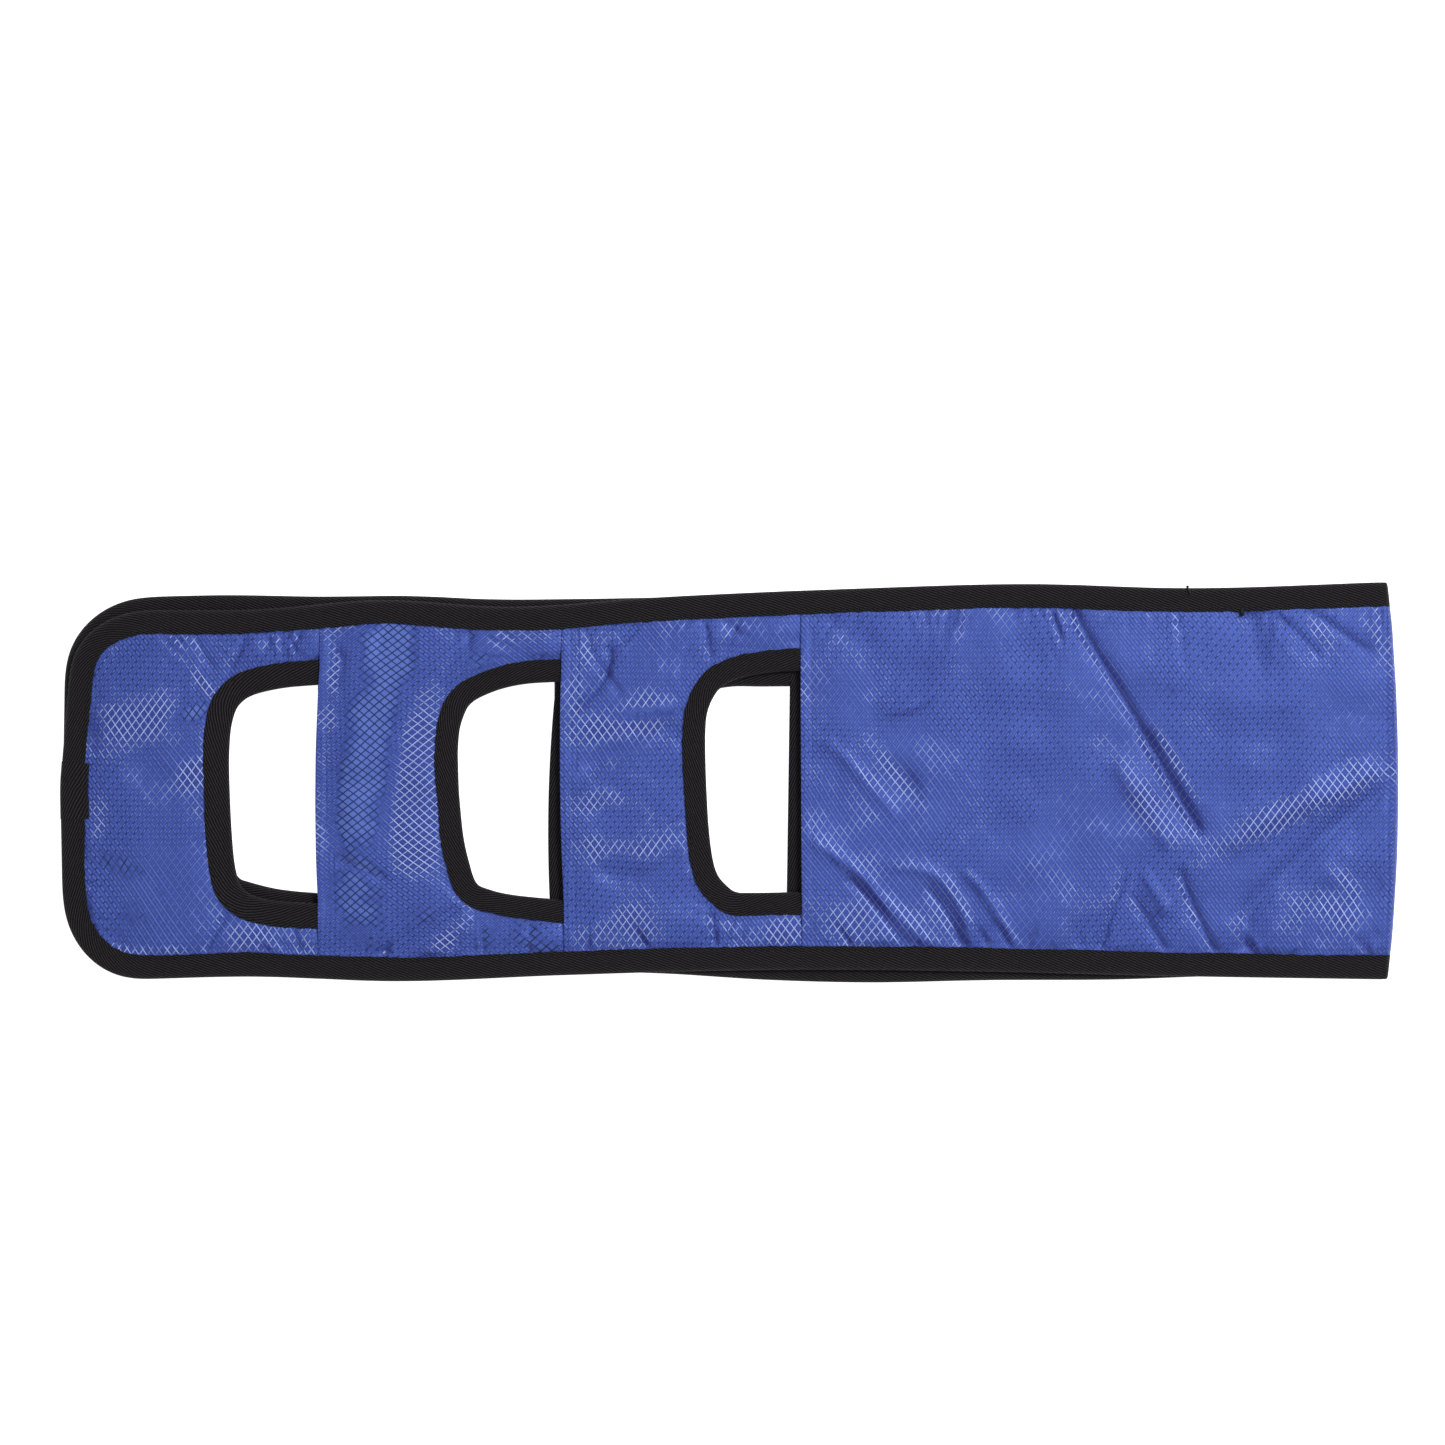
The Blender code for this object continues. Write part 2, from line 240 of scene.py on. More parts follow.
# %% The hand holes
# Each D as it is cut: distance from its hem, and place across the belt, from the far end round to
# the near one. The lower ones differ, because the two halves were cut and folded by hand.
HOLES = {
    ("upper", 1): [(0, 48.8), (-16, 47.5), (-27, 45.5), (-34, 43.4), (-38.5, 40.6), (-42, 36), (-44.4, 27),
                   (-45.3, 15), (-45.3, 3), (-44.5, -18), (-43.3, -35), (-41.8, -45), (-39.6, -51.5),
                   (-34, -56.2), (-22, -59.2), (0, -60.4)],
    ("upper", 2): [(0, 50.4), (-17, 49.4), (-29, 47.2), (-38.5, 43.8), (-45, 40.2), (-49, 35), (-51.4, 27),
                   (-52.4, 15), (-52.3, 3), (-51.3, -11), (-49.6, -27), (-47, -39), (-43.4, -49.8),
                   (-37.7, -53.2), (-25, -56.2), (0, -58.8)],
    ("upper", 3): [(0, 55.7), (-10, 55.4), (-22, 54), (-32, 51.6), (-40, 47.6), (-44, 42.6), (-47, 35.2),
                   (-48, 26), (-48, 12), (-47.4, -5), (-46.4, -22), (-44.6, -37), (-42, -46), (-37.4, -51.6),
                   (-32.6, -54.8), (-24, -55.2), (0, -54.8)],
    ("lower", 1): [(0, 52), (-18, 51), (-32, 47), (-41, 38), (-45, 20), (-45.4, 0), (-44, -25), (-42, -42),
                   (-39.5, -47.8), (-34.6, -49.9), (-23, -52.9), (-13, -54.4), (0, -55.6)],
    ("lower", 2): [(0, 52.5), (-20, 51.5), (-34, 47), (-42, 40), (-47.6, 25), (-48, 5), (-46.5, -22),
                   (-43, -42), (-37, -54), (-26, -58), (0, -59.4)],
    ("lower", 3): [(0, 48.1), (-14, 48), (-30, 47.9), (-39, 45), (-45, 34), (-46.5, 10), (-45.5, -20),
                   (-42, -42), (-36, -53), (-26, -57), (0, -57)],
}


def hole_line(half, n, step=1.0, extra=0.0):
    """The edge of a hole, anticlockwise on the flat belt, drawn on straight past its hem at both ends."""
    line = smooth_line(HOLES[half, n], 0.5) + [HEMS[half][n], 0]
    line = np.concatenate([line[:1] + [extra, 0], line, line[-1:] + [extra, 0]])
    line = resample(line, step)
    line[:, 0] = flat_x(half, line[:, 0])
    return line if half == "upper" else line[::-1]


def in_hole(half, n, X, Y):
    """True inside the D: a level ray to the left crosses the closed outline an odd number of times."""
    ring = hole_line(half, n, extra=8.0)
    x, y = np.asarray(X)[..., None], np.asarray(Y)[..., None]
    x0, y0 = ring[:, 0], ring[:, 1]
    x1, y1 = np.roll(x0, -1), np.roll(y0, -1)
    rise = np.where(y1 == y0, 1e-9, y1 - y0)
    crossed = ((y0 > y) != (y1 > y)) & (x < x0 + (y - y0) * (x1 - x0) / rise)
    return crossed.sum(-1) % 2 == 1


for (half, n), outline in HOLES.items():
    low, high = box_mm(f"{half}_hole_{n}_binding")
    depth = HEMS[half][n] - low[0] - TAPE_WIDTH
    print(half, n, "hole deep", -min(p[0] for p in outline), "frame", round(depth, 1))

# %% [markdown]
# ## Relief: how the cloth stands
# Sewn cloth never lies flat. It puffs up between the tapes, gathers in short puckers where the tape
# holds it, and keeps the creases of handling. Cloth simulation could make such wrinkles, but not
# these ones, in these places. So the relief is a height over the flat belt: a crown that rises with
# the distance from the nearest tape, ripples that fade away from it, and listed creases.

# %% Distances and ripples
def nearest(X, Y, line):
    """Distance from each point to a line, and the number of the nearest sample on it."""
    points = np.stack([X.ravel(), Y.ravel()], -1).astype(np.float32)
    line = line.astype(np.float32)
    found, index = np.empty(len(points), np.float32), np.empty(len(points), int)
    for start in range(0, len(points), 4000):
        block = points[start:start + 4000]
        square = ((block[:, None, :] - line[None, :, :]) ** 2).sum(-1)
        index[start:start + 4000] = square.argmin(1)
        found[start:start + 4000] = np.sqrt(square.min(1))
    return found.reshape(X.shape), index.reshape(X.shape)


def ripple(s, seed, shortest, longest, waves=10):
    """A sum of sine waves with seeded lengths and phases, about 1 high."""
    draw = np.random.default_rng(seed)
    lengths = draw.uniform(shortest, longest, waves)
    phases = draw.uniform(0, 2 * math.pi, waves)
    return sum(np.sin(2 * math.pi * s / l + p) for l, p in zip(lengths, phases)) / math.sqrt(waves / 2)


def swell(X, Y, seed, shortest, longest, waves=12):
    """The same in two directions: plane waves that run every way."""
    draw = np.random.default_rng(seed)
    lengths = draw.uniform(shortest, longest, waves)
    ways = draw.uniform(0, math.pi, waves)
    phases = draw.uniform(0, 2 * math.pi, waves)
    total = 0
    for l, w, p in zip(lengths, ways, phases):
        total = total + np.sin(2 * math.pi * (X * math.cos(w) + Y * math.sin(w)) / l + p)
    return total / math.sqrt(waves / 2)


# %% Creases and folds of the side that is seen
# Each is: height in mm (below zero for a valley), width on the left and on the right of its
# direction, sharpness (1 a crease, 2 a soft roll), and a few points along it.
CREASES = [
    # centre panel, from the left
    (0.9, 1.6, 8.0, 1.3, [(117, 86), (116, 76), (111, 62), (103, 45), (92, 37), (72, 33)]),
    (-0.5, 6.0, 6.0, 2, [(50, 81), (67, 73)]),
    (0.7, 3.0, 4.0, 1.6, [(44, 23), (57, 14), (75, -6), (88, -20)]),
    (-0.9, 6.0, 7.0, 2, [(80, 16), (98, -14)]),
    (0.9, 3.0, 3.5, 1.5, [(37, -26), (52, -35), (67, -47), (80, -61), (103, -82)]),
    (-0.9, 2.5, 2.0, 1.2, [(57, -45), (69, -57), (82, -73)]),
    (0.9, 3.0, 3.0, 1.5, [(77, -43), (94, -43), (107, -49), (118, -66), (123, -83)]),
    (-0.9, 2.2, 2.2, 1.2, [(97, -50), (107, -62), (116, -79)]),
    (0.8, 2.5, 2.5, 1.5, [(116, -42), (129, -56), (144, -82)]),
    (-0.8, 2.0, 2.0, 1.2, [(133, -68), (141, -81)]),
    (-0.5, 1.5, 1.5, 1.2, [(123, -70), (132, -83)]),
    (-1.6, 3.2, 2.6, 1.2, [(172, 92), (177, 77), (191, 53), (205, 29), (215, 11), (227, -11), (239, -30)]),
    (-1.3, 2.2, 2.2, 1.1, [(225, -40), (230, -56), (238, -74), (243, -85)]),
    (-0.7, 4.0, 3.5, 2, [(205, 29), (217, 8), (230, -14), (238, -27)]),
    (-0.8, 1.2, 1.6, 1.1, [(161, 87), (169, 67)]),
    (0.9, 5.0, 5.0, 2, [(190, 16), (197, 6), (211, -15), (225, -37)]),
    (1.3, 6.0, 7.0, 1.8, [(242, -37), (273, -16), (304, -4), (329, 11)]),
    (-1.0, 5.0, 5.0, 2, [(333, -1), (314, -14), (283, -41), (263, -61), (259, -77)]),
    (0.7, 5.0, 6.0, 2, [(271, -77), (284, -60), (299, -46), (318, -62)]),
    (-1.1, 1.1, 1.4, 1.0, [(200, -45), (194, -59), (190, -71), (187, -79)]),
    (0.8, 3.5, 3.5, 1.5, [(205, -41), (224, -71)]),
    (-0.8, 2.5, 2.5, 1.4, [(200, -53), (217, -81)]),
    (-0.6, 5.0, 5.0, 2, [(172, -62), (175, -84)]),
    (-0.7, 2.0, 2.5, 1.3, [(273, 86), (299, 60)]),
    (-0.7, 2.0, 2.5, 1.3, [(291, 86), (324, 63)]),
    (-0.8, 6.0, 6.0, 2, [(262, 78), (268, 52)]),
    (-0.5, 9.0, 9.0, 2, [(140, 20), (160, -20)]),
    # panel 3
    (-1.5, 1.7, 2.6, 1.1, [(-59, 72), (-59, 60), (-63, 50), (-72, 40), (-80, 35)]),
    (0.8, 5.0, 5.0, 1.8, [(-79, 20), (-62, 29), (-42, 35), (-20, 37)]),
    (-0.9, 5.0, 5.0, 2, [(-80, 6), (-60, 12), (-44, 17), (-22, 31)]),
    (-0.7, 4.5, 4.5, 2, [(-70, -43), (-50, -47), (-35, -45), (-20, -32)]),
    (0.6, 5.0, 5.0, 2, [(-76, -14), (-66, -5), (-52, -14)]),
    (-1.2, 1.4, 1.7, 1.1, [(-9, -62), (-7, -72), (-6, -83)]),
    (-0.6, 0.9, 0.9, 1.1, [(4, -67), (-3, -82)]),
    (-1.0, 1.8, 2.2, 1.2, [(-11, 77), (-8, 59)]),
    (-0.8, 1.6, 1.8, 1.2, [(4, 77), (-3, 63)]),
    (-0.5, 1.6, 2.2, 1.4, [(-71, 76), (-66, 62), (-50, 40)]),
    # panel 2
    (-0.6, 2.2, 2.2, 1.4, [(-199, 72), (-193, 60), (-197, 44)]),
    (-0.8, 2.2, 2.8, 1.4, [(-201, -37), (-185, -42), (-166, -51)]),
    (-1.0, 2.2, 2.6, 1.3, [(-131, -61), (-148, -70), (-167, -82)]),
    (0.9, 3.0, 3.0, 1.5, [(-126, -66), (-138, -76), (-150, -86)]),
    (-0.8, 1.8, 1.8, 1.3, [(-123, -68), (-123, -87)]),
    (-0.6, 1.8, 1.8, 1.3, [(-99, -76), (-101, -88)]),
    (-0.9, 2.4, 2.4, 1.4, [(-128, 80), (-131, 63)]),
    (0.8, 13.0, 7.0, 2, [(-184, 90), (-186, 40), (-187, 0), (-184, -50)]),
    (-0.5, 3.0, 3.0, 1.5, [(-170, 84), (-176, 60)]),
    # panel 1
    (-1.3, 0.9, 1.2, 1.0, [(-249, -63), (-256, -75), (-263, -88)]),
    (-0.7, 1.6, 1.8, 1.2, [(-268, 77), (-262, 64), (-255, 54)]),
    (-0.9, 1.6, 2.0, 1.2, [(-240, 76), (-245, 64), (-251, 52)]),
    (-0.8, 1.4, 1.8, 1.2, [(-228, 75), (-232, 64)]),
    (-0.6, 1.2, 1.4, 1.2, [(-216, 75), (-219, 65)]),
    (-0.6, 1.2, 1.4, 1.2, [(-216, -77), (-212, -88)]),
    (-0.5, 1.0, 1.4, 1.2, [(-323, 12), (-319, 5)]),
    (0.6, 7.0, 7.0, 2, [(-322, 22), (-300, 36), (-272, 40)]),
    (-0.6, 8.0, 8.0, 2, [(-302, 12), (-284, -1), (-266, -10)]),
    (-0.5, 6.0, 6.0, 2, [(-325, -27), (-308, -22), (-292, -20)]),
]

UNDER_TAPE = 72


def crease_relief(X, Y):
    """Sum of height * exp(-(distance / width)^sharpness) over the creases. Each fades out smoothly at
    its two ends, and one that reaches a tape carries on underneath it."""
    relief = np.zeros(X.shape)
    for height, left, right, sharpness, points in CREASES:
        ends = [np.array(points[0], float), np.array(points[-1], float)]
        ways = [ends[0] - points[1], ends[1] - points[-2]]
        on = [end + 16 * way / np.linalg.norm(way) for end, way in zip(ends, ways)]
        runs_on = [int(abs(end[1]) > UNDER_TAPE) for end in ends]
        line = smooth_line([on[0]] * runs_on[0] + points + [on[1]] * runs_on[1])
        reach = 3 * max(left, right)
        low, high = line.min(0) - reach, line.max(0) + reach
        close = (X > low[0]) & (X < high[0]) & (Y > low[1]) & (Y < high[1])
        if not close.any():
            continue
        x, y = X[close], Y[close]
        distance, k = nearest(x, y, line)
        normal = left_of(line)[k]
        on_left = ((x - line[k, 0]) * normal[:, 0] + (y - line[k, 1]) * normal[:, 1]) > 0
        to_end = np.clip(np.minimum(k, len(line) - 1 - k) / (4 + 1.6 * max(left, right)), 0, 1)
        fade = to_end ** 2 * (3 - 2 * to_end)
        width = np.where(on_left, left, right)
        relief[close] += height * fade * np.exp(-(distance / width) ** sharpness)
    return relief


# %% The height of the cloth
CROWN = {"upper": 1.5, "lower": 0.7}
CROWN_REACH = 9.0
PUCKER = 0.42
PUCKER_REACH = 7.0


def pucker(s, gap, seed):
    """Gathers along a seam: ripples whose strength and slant wander, dying out as exp(-gap / reach)."""
    strength = np.clip(0.45 + 0.55 * ripple(s, seed + 1, 18, 60), 0.05, 1.3)
    slant = 0.9 * ripple(s, seed + 2, 60, 160)
    reach = PUCKER_REACH * (0.5 + 0.7 * strength)
    return strength * ripple(s + slant * gap, seed, 5, 15) * np.exp(-gap / reach)


def cloth_height(X, Y, holes=()):
    """Height of the ripstop over the middle of the belt: sewn level + crown * (1 - exp(-gap / reach))
    + puckers * exp(-gap / reach) + swell + creases, where the gap is the distance from the tapes."""
    near = (EDGE[:, 0] > X.min() - 30) & (EDGE[:, 0] < X.max() + 30)
    ring, run = EDGE[near][::2], EDGE_RUN[near][::2]
    distance, k = nearest(X, Y, ring)
    gap = np.clip(distance - TAPE_WIDTH, 0, None)
    puckers = pucker(run[k], gap, 11)
    for number, (half, n) in enumerate(holes):
        line = hole_line(half, n, extra=5.0)
        distance, k = nearest(X, Y, line)
        hole_gap = np.where(in_hole(half, n, X, Y), 0, np.clip(distance - TAPE_WIDTH, 0, None))
        puckers = puckers + 0.8 * pucker(1.0 * k, hole_gap, 31 + number)
        gap = np.minimum(gap, hole_gap)
    below = np.clip((X - FOLD_START) / FOLD_LENGTH, 0, 1)
    crown = CROWN["upper"] + (CROWN["lower"] - CROWN["upper"]) * below
    sewn = 1 - np.exp(-gap / CROWN_REACH)
    free = np.clip(gap / 2.5, 0, 1) * (1 - 0.6 * below)
    relief = 0.32 * swell(X, Y, 5, 26, 70) + 0.04 * swell(X, Y, 6, 6, 12) + 1.45 * crease_relief(X, Y)
    height = SHELL_LEVEL + crown * sewn + free * (PUCKER * puckers + relief)
    ceiling = TAPE_TOP + 3 - 3.25 * below
    return np.minimum(height, ceiling), gap


# %% [markdown]
# ## From grids to meshes
# Every surface here is a grid of points worked out at once, with numpy. One function turns grids
# into four-sided faces, one makes the mesh and its pattern map, and nothing loops over vertices.

# %% Mesh helpers
def grid_quads(rows, columns, ring=False):
    """Corner numbers of the faces between neighbours on a grid, and the same on the grid that has
    its first column again at the end, which is what a pattern map needs on a closed ring."""
    i, j = np.meshgrid(np.arange(rows - 1), np.arange(columns - (not ring)), indexing="ij")
    following = (j + 1) % columns
    wide = columns + ring
    points = [i * columns + j, (i + 1) * columns + j, (i + 1) * columns + following, i * columns + following]
    corners = [i * wide + j, (i + 1) * wide + j, (i + 1) * wide + j + 1, i * wide + j + 1]
    return np.stack(points, -1).reshape(-1, 4), np.stack(corners, -1).reshape(-1, 4)


def make_piece(name, points, quads, pattern=None, corners=None, materials=(), material_index=None):
    """A mesh object from points in metres, quads, and a pattern map (one pair of values per corner)."""
    used = np.unique(quads)
    renumber = np.full(len(points), -1)
    renumber[used] = np.arange(len(used))
    mesh = bpy.data.meshes.new(name)
    mesh.from_pydata(points[used].tolist(), [], renumber[quads].tolist())
    if pattern is not None:
        layer = mesh.uv_layers.new(name="pattern")
        chosen = pattern[quads if corners is None else corners]
        layer.data.foreach_set("uv", chosen.astype(np.float32).ravel())
    for material in materials:
        mesh.materials.append(material)
    if material_index is not None:
        mesh.polygons.foreach_set("material_index", material_index.astype(np.int32))
    mesh.shade_smooth()
    mesh.update()
    piece = bpy.data.objects.new(name, mesh)
    bpy.context.scene.collection.objects.link(piece)
    return piece, used


def thicken(piece, thickness):
    """Gives an open sheet its thickness, half to each side."""
    solid = piece.modifiers.new("thickness", "SOLIDIFY")
    solid.thickness = thickness * MM
    solid.offset = 0.0
    return piece


def area_mm2(X, Y, quads):
    """Area of the flat cut: the sum of its quads, each by the cross product of its diagonals."""
    x, y = X.ravel()[quads], Y.ravel()[quads]
    cross = (x[:, 2] - x[:, 0]) * (y[:, 3] - y[:, 1]) - (x[:, 3] - x[:, 1]) * (y[:, 2] - y[:, 0])
    return np.abs(cross).sum() / 2


# %% [markdown]
# ## Materials
# Everything is cloth of some kind, so every finish is a weave: what the eye gets from it is a
# pattern of threads, a little sheen, and hardly any gloss. One function turns a hex colour into
# linear light, and one adds a node with its settings and links.

# %% Material helpers
def linear(hex_colour, alpha=1.0):
    """sRGB hex to linear light: below 0.04045 divide by 12.92, above it ((c + 0.055) / 1.055)^2.4."""
    channels = [int(hex_colour[k:k + 2], 16) / 255 for k in (1, 3, 5)]
    return [c / 12.92 if c <= 0.04045 else ((c + 0.055) / 1.055) ** 2.4 for c in channels] + [alpha]


def node(tree, kind, inputs=None, **settings):
    """Adds a node; settings are its own values, and inputs are sockets: a value, or another's output."""
    made = tree.nodes.new("ShaderNode" + kind)
    for key, value in settings.items():
        setattr(made, key, value)
    for socket, value in (inputs or {}).items():
        if isinstance(value, bpy.types.NodeSocket):
            tree.links.new(value, made.inputs[socket])
        else:
            made.inputs[socket].default_value = value
    return made


def maths(tree, operation, *values):
    """A Math node's result."""
    return node(tree, "Math", dict(enumerate(values)), operation=operation).outputs[0]


def ramp(tree, value, low, high, start=0.0, end=1.0):
    """A smooth step of value, from start at low to end at high."""
    inputs = {0: value, 1: low, 2: high, 3: start, 4: end}
    return node(tree, "MapRange", inputs, interpolation_type="SMOOTHSTEP").outputs[0]


def mix(tree, factor, first, second):
    """A blend of two colours."""
    return node(tree, "Mix", {0: factor, 6: first, 7: second}, data_type="RGBA").outputs[2]


def cloth_material(name, **surface):
    """A new material with one Principled shader, whose plain values are set straight on its sockets."""
    material = bpy.data.materials.new(name)
    material.use_nodes = True
    tree = material.node_tree
    shader = tree.nodes["Principled BSDF"]
    for socket, value in surface.items():
        shader.inputs[socket.replace("_", " ")].default_value = value
    return material, tree


def pattern_map(tree):
    """The two values of a piece's own pattern map."""
    split = node(tree, "SeparateXYZ", {0: node(tree, "UVMap", uv_map="pattern").outputs[0]})
    return split.outputs[0], split.outputs[1]


def cloud(tree, scale, detail):
    """Soft noise fixed to the object, 0 to 1, with scale swells in a metre."""
    place = node(tree, "TexCoord").outputs["Object"]
    return node(tree, "TexNoise", {"Vector": place, "Scale": scale, "Detail": detail}).outputs[0]


def wire(tree, colour, height, rise, strength=1.0):
    """Gives the shader its colour and a relief that stands rise mm tall."""
    shader = tree.nodes["Principled BSDF"]
    tree.links.new(colour, shader.inputs["Base Color"])
    bump = node(tree, "Bump", {"Height": height, "Distance": rise * MM, "Strength": strength})
    tree.links.new(bump.outputs[0], shader.inputs["Normal"])


# %% [markdown]
# ## Ripstop nylon
# Ripstop is a light plain weave with a thicker thread every few millimetres. Here the grid lies
# askew, so the thick threads cross in diamonds 4.2 by 5.7 mm. They stand proud in the bump, and their
# colour carries painted light: a painted highlight turns them white where the cloth tilts to the key
# light, painted shade turns them navy where it tilts away, and in between painted shade marks only
# their crossings, as dark spots. The ground gets a painted highlight, palest, under navy threads and
# painted shade, deepest, on slopes that face away from the key light, with hair lines from its finer
# threads. The mesh carries two numbers for this painted light, its tilt to the key light and the
# painted highlight and shade of its threads, so that no pattern hangs on the eye's place. Nylon dyed in
# the fibre gives back a bluish gleam, so the reflection is tinted. The real thick thread is 0.4 mm
# across, drawn a little wider so that it shows.

# %% Ripstop
def ripstop(name, body, shade, deep, pale, painted_highlight_colour, dark):
    material, tree = cloth_material(
        name, Roughness=0.52, IOR=1.8, Specular_IOR_Level=0.6, Specular_Tint=(0.2, 0.33, 1.0, 1.0))
    u, v = pattern_map(tree)

    def off(value, times=1.0):
        """Distance to the nearest whole count, 0 to 0.5."""
        return maths(tree, "PINGPONG", maths(tree, "MULTIPLY", value, times), 0.5)

    def both(operation, first, second):
        return maths(tree, operation, first, second)

    thread_u, thread_v = ramp(tree, off(u), 0.045, 0.1, 1, 0), ramp(tree, off(v), 0.045, 0.1, 1, 0)
    threads = both("MAXIMUM", thread_u, thread_v)
    broad = both("MAXIMUM", ramp(tree, off(u), 0.05, 0.13, 1, 0), ramp(tree, off(v), 0.05, 0.13, 1, 0))
    knot = both("MULTIPLY", ramp(tree, off(u), 0.14, 0.34, 1, 0), ramp(tree, off(v), 0.06, 0.15, 1, 0))
    # Painted light read from the mesh: the threads' painted highlight (above zero) and painted shade
    # (below), and the cloth's tilt to the key light.
    thread_highlight_and_shade = node(tree, "Attribute", attribute_name="thread_highlight_and_shade").outputs["Fac"]
    tilt = node(tree, "Attribute", attribute_name="tilt").outputs["Fac"]
    # Painted sheen: the threads' painted highlight and shade, made patchy by soft noise.
    painted_sheen = both("ADD", thread_highlight_and_shade, both("MULTIPLY", both("SUBTRACT", cloud(tree, 160.0, 3.0), 0.5), 0.8))
    grain, patch = cloud(tree, 28.0, 1.0), cloud(tree, 17.0, 2.0)
    hair_u = both("MULTIPLY", ramp(tree, off(u, 2), 0.05, 0.4, 1, 0), ramp(tree, grain, 0.42, 0.58, 0.25, 1))
    hair_v = both("MULTIPLY", ramp(tree, off(v, 3), 0.05, 0.4, 1, 0), ramp(tree, grain, 0.42, 0.58, 1, 0.3))
    fine = both("MAXIMUM", hair_u, hair_v)
    tone = both("ADD", both("MULTIPLY", fine, 0.6), both("MULTIPLY", cloud(tree, 1100.0, 1.0), 0.7))
    cloth = mix(tree, tone, linear(shade), linear(body))
    # Painted highlight: a paler ground where the threads carry painted shade.
    cloth = mix(tree, ramp(tree, painted_sheen, -0.4, -1.0, 0, 0.75), cloth, linear(pale))
    # Painted shade: a deeper ground beside threads that carry a painted highlight.
    cloth = mix(tree, ramp(tree, painted_sheen, 0.3, 0.8, 0, 0.4), cloth, linear(deep))
    # Painted shade: the ground darkens on slopes turned away from the key light.
    cloth = mix(tree, ramp(tree, tilt, -0.1, -0.85, 0, 0.9), cloth, linear(deep))
    # Painted highlight: the thick threads turn to the pale highlight colour where the painted sheen is high,
    # in patches.
    run_u = both("MULTIPLY", thread_u, ramp(tree, grain, 0.42, 0.58, 0.5, 1.0))
    run_v = both("MULTIPLY", thread_v, ramp(tree, grain, 0.38, 0.54, 1.0, 0.7))
    spread = both("MULTIPLY", both("SUBTRACT", patch, 0.5), 0.7)
    shine = ramp(tree, both("ADD", painted_sheen, spread), 0.05, 0.65, 0.15, 0.92)
    cloth = mix(tree, both("MULTIPLY", both("MAXIMUM", run_u, run_v), shine), cloth, linear(painted_highlight_colour))
    # Painted shade: the thick threads turn navy where the painted sheen is low, and their crossings show as
    # dark spots in mid tones; both fade on slopes turned away from the key light, where the ground already
    # carries painted shade.
    open_slope = ramp(tree, tilt, -0.9, -0.3, 0.15, 1.0)
    navy_painted_shade = both("MULTIPLY", broad, ramp(tree, painted_sheen, -0.25, -0.65, 0, 0.95))
    crossing_painted_shade = both("MULTIPLY", both("MULTIPLY", knot, ramp(tree, patch, 0.44, 0.64, 1.0, 0.2)),
                ramp(tree, painted_sheen, 0.8, 0.25, 0, 0.9))
    cloth = mix(tree, both("MULTIPLY", both("MAXIMUM", navy_painted_shade, crossing_painted_shade), open_slope), cloth, linear(dark))
    rise = both("ADD", threads, both("MULTIPLY", fine, 0.3))
    wire(tree, cloth, rise, 0.12, 0.6)
    return material


# The pale ground and the white thread colour are painted highlight; the deep ground and the dark navy thread
# colour are painted shade; body and shade are the cloth's own two tones.
RIPSTOP = ripstop(
    "ripstop_nylon_royal_blue", body="#485AB0", shade="#1F2A6E", deep="#1F1C66", pale="#667CC8",
    painted_highlight_colour="#BFCEFF", dark="#04063A")

# %% [markdown]
# ## Twill tape
# Binding tape is cotton or polyester twill, dyed black. Its ribs climb at about 20 degrees to its
# length, a little over a millimetre apart, and catch just enough light to be seen. Black dye on a
# matt fibre is a warm dark grey, never pure black.

# %% Twill
RIB_SPACING = 1.2
RIB_ANGLE = math.radians(22)


def twill(name, dark, light):
    material, tree = cloth_material(
        name, Roughness=0.8, Sheen_Weight=0.02, Specular_IOR_Level=0.2)
    u, v = pattern_map(tree)
    along = maths(tree, "MULTIPLY", u, math.sin(RIB_ANGLE) / RIB_SPACING)
    across = maths(tree, "MULTIPLY", v, math.cos(RIB_ANGLE) / RIB_SPACING)
    wander = maths(tree, "MULTIPLY", cloud(tree, 260.0, 2.0), 0.5)
    phase = maths(tree, "ADD", maths(tree, "SUBTRACT", across, along), wander)
    rib = maths(tree, "MULTIPLY", maths(tree, "PINGPONG", phase, 0.5), 2.0)
    fibre = maths(tree, "ADD", cloud(tree, 1500.0, 1.0), 0.3)
    tone = maths(tree, "MULTIPLY", ramp(tree, rib, 0.3, 0.95), fibre)
    wire(tree, mix(tree, tone, linear(dark), linear(light)), rib, 0.35)
    return material


TWILL = twill("cotton_twill_black", "#020202", "#3A353A")

# %% [markdown]
# ## Lining, wadding and thread
# The lining is an ordinary plain weave, one thread over and one under, a shade darker than the
# ripstop. The wadding is bonded polyester fibre, soft and cloudy. The sewing thread is twisted from
# two plies, which show as fine slanted ribs along each stitch.

# %% Plain weave, wadding and thread
def plain_weave(name, light, dark, spacing):
    material, tree = cloth_material(name, Roughness=0.8, Sheen_Weight=0.1)
    warp, weft = (
        maths(tree, "SINE", maths(tree, "MULTIPLY", way, math.pi / spacing)) for way in pattern_map(tree))
    tone = maths(tree, "MULTIPLY_ADD", maths(tree, "MULTIPLY", warp, weft), 0.5, 0.5)
    wire(tree, mix(tree, tone, linear(dark), linear(light)), tone, 0.1, 0.6)
    return material


def wadding(name, light, dark):
    material, tree = cloth_material(name, Roughness=0.95, Sheen_Weight=0.3)
    fluff = cloud(tree, 420.0, 5.0)
    wire(tree, mix(tree, fluff, linear(dark), linear(light)), fluff, 0.6, 0.8)
    return material


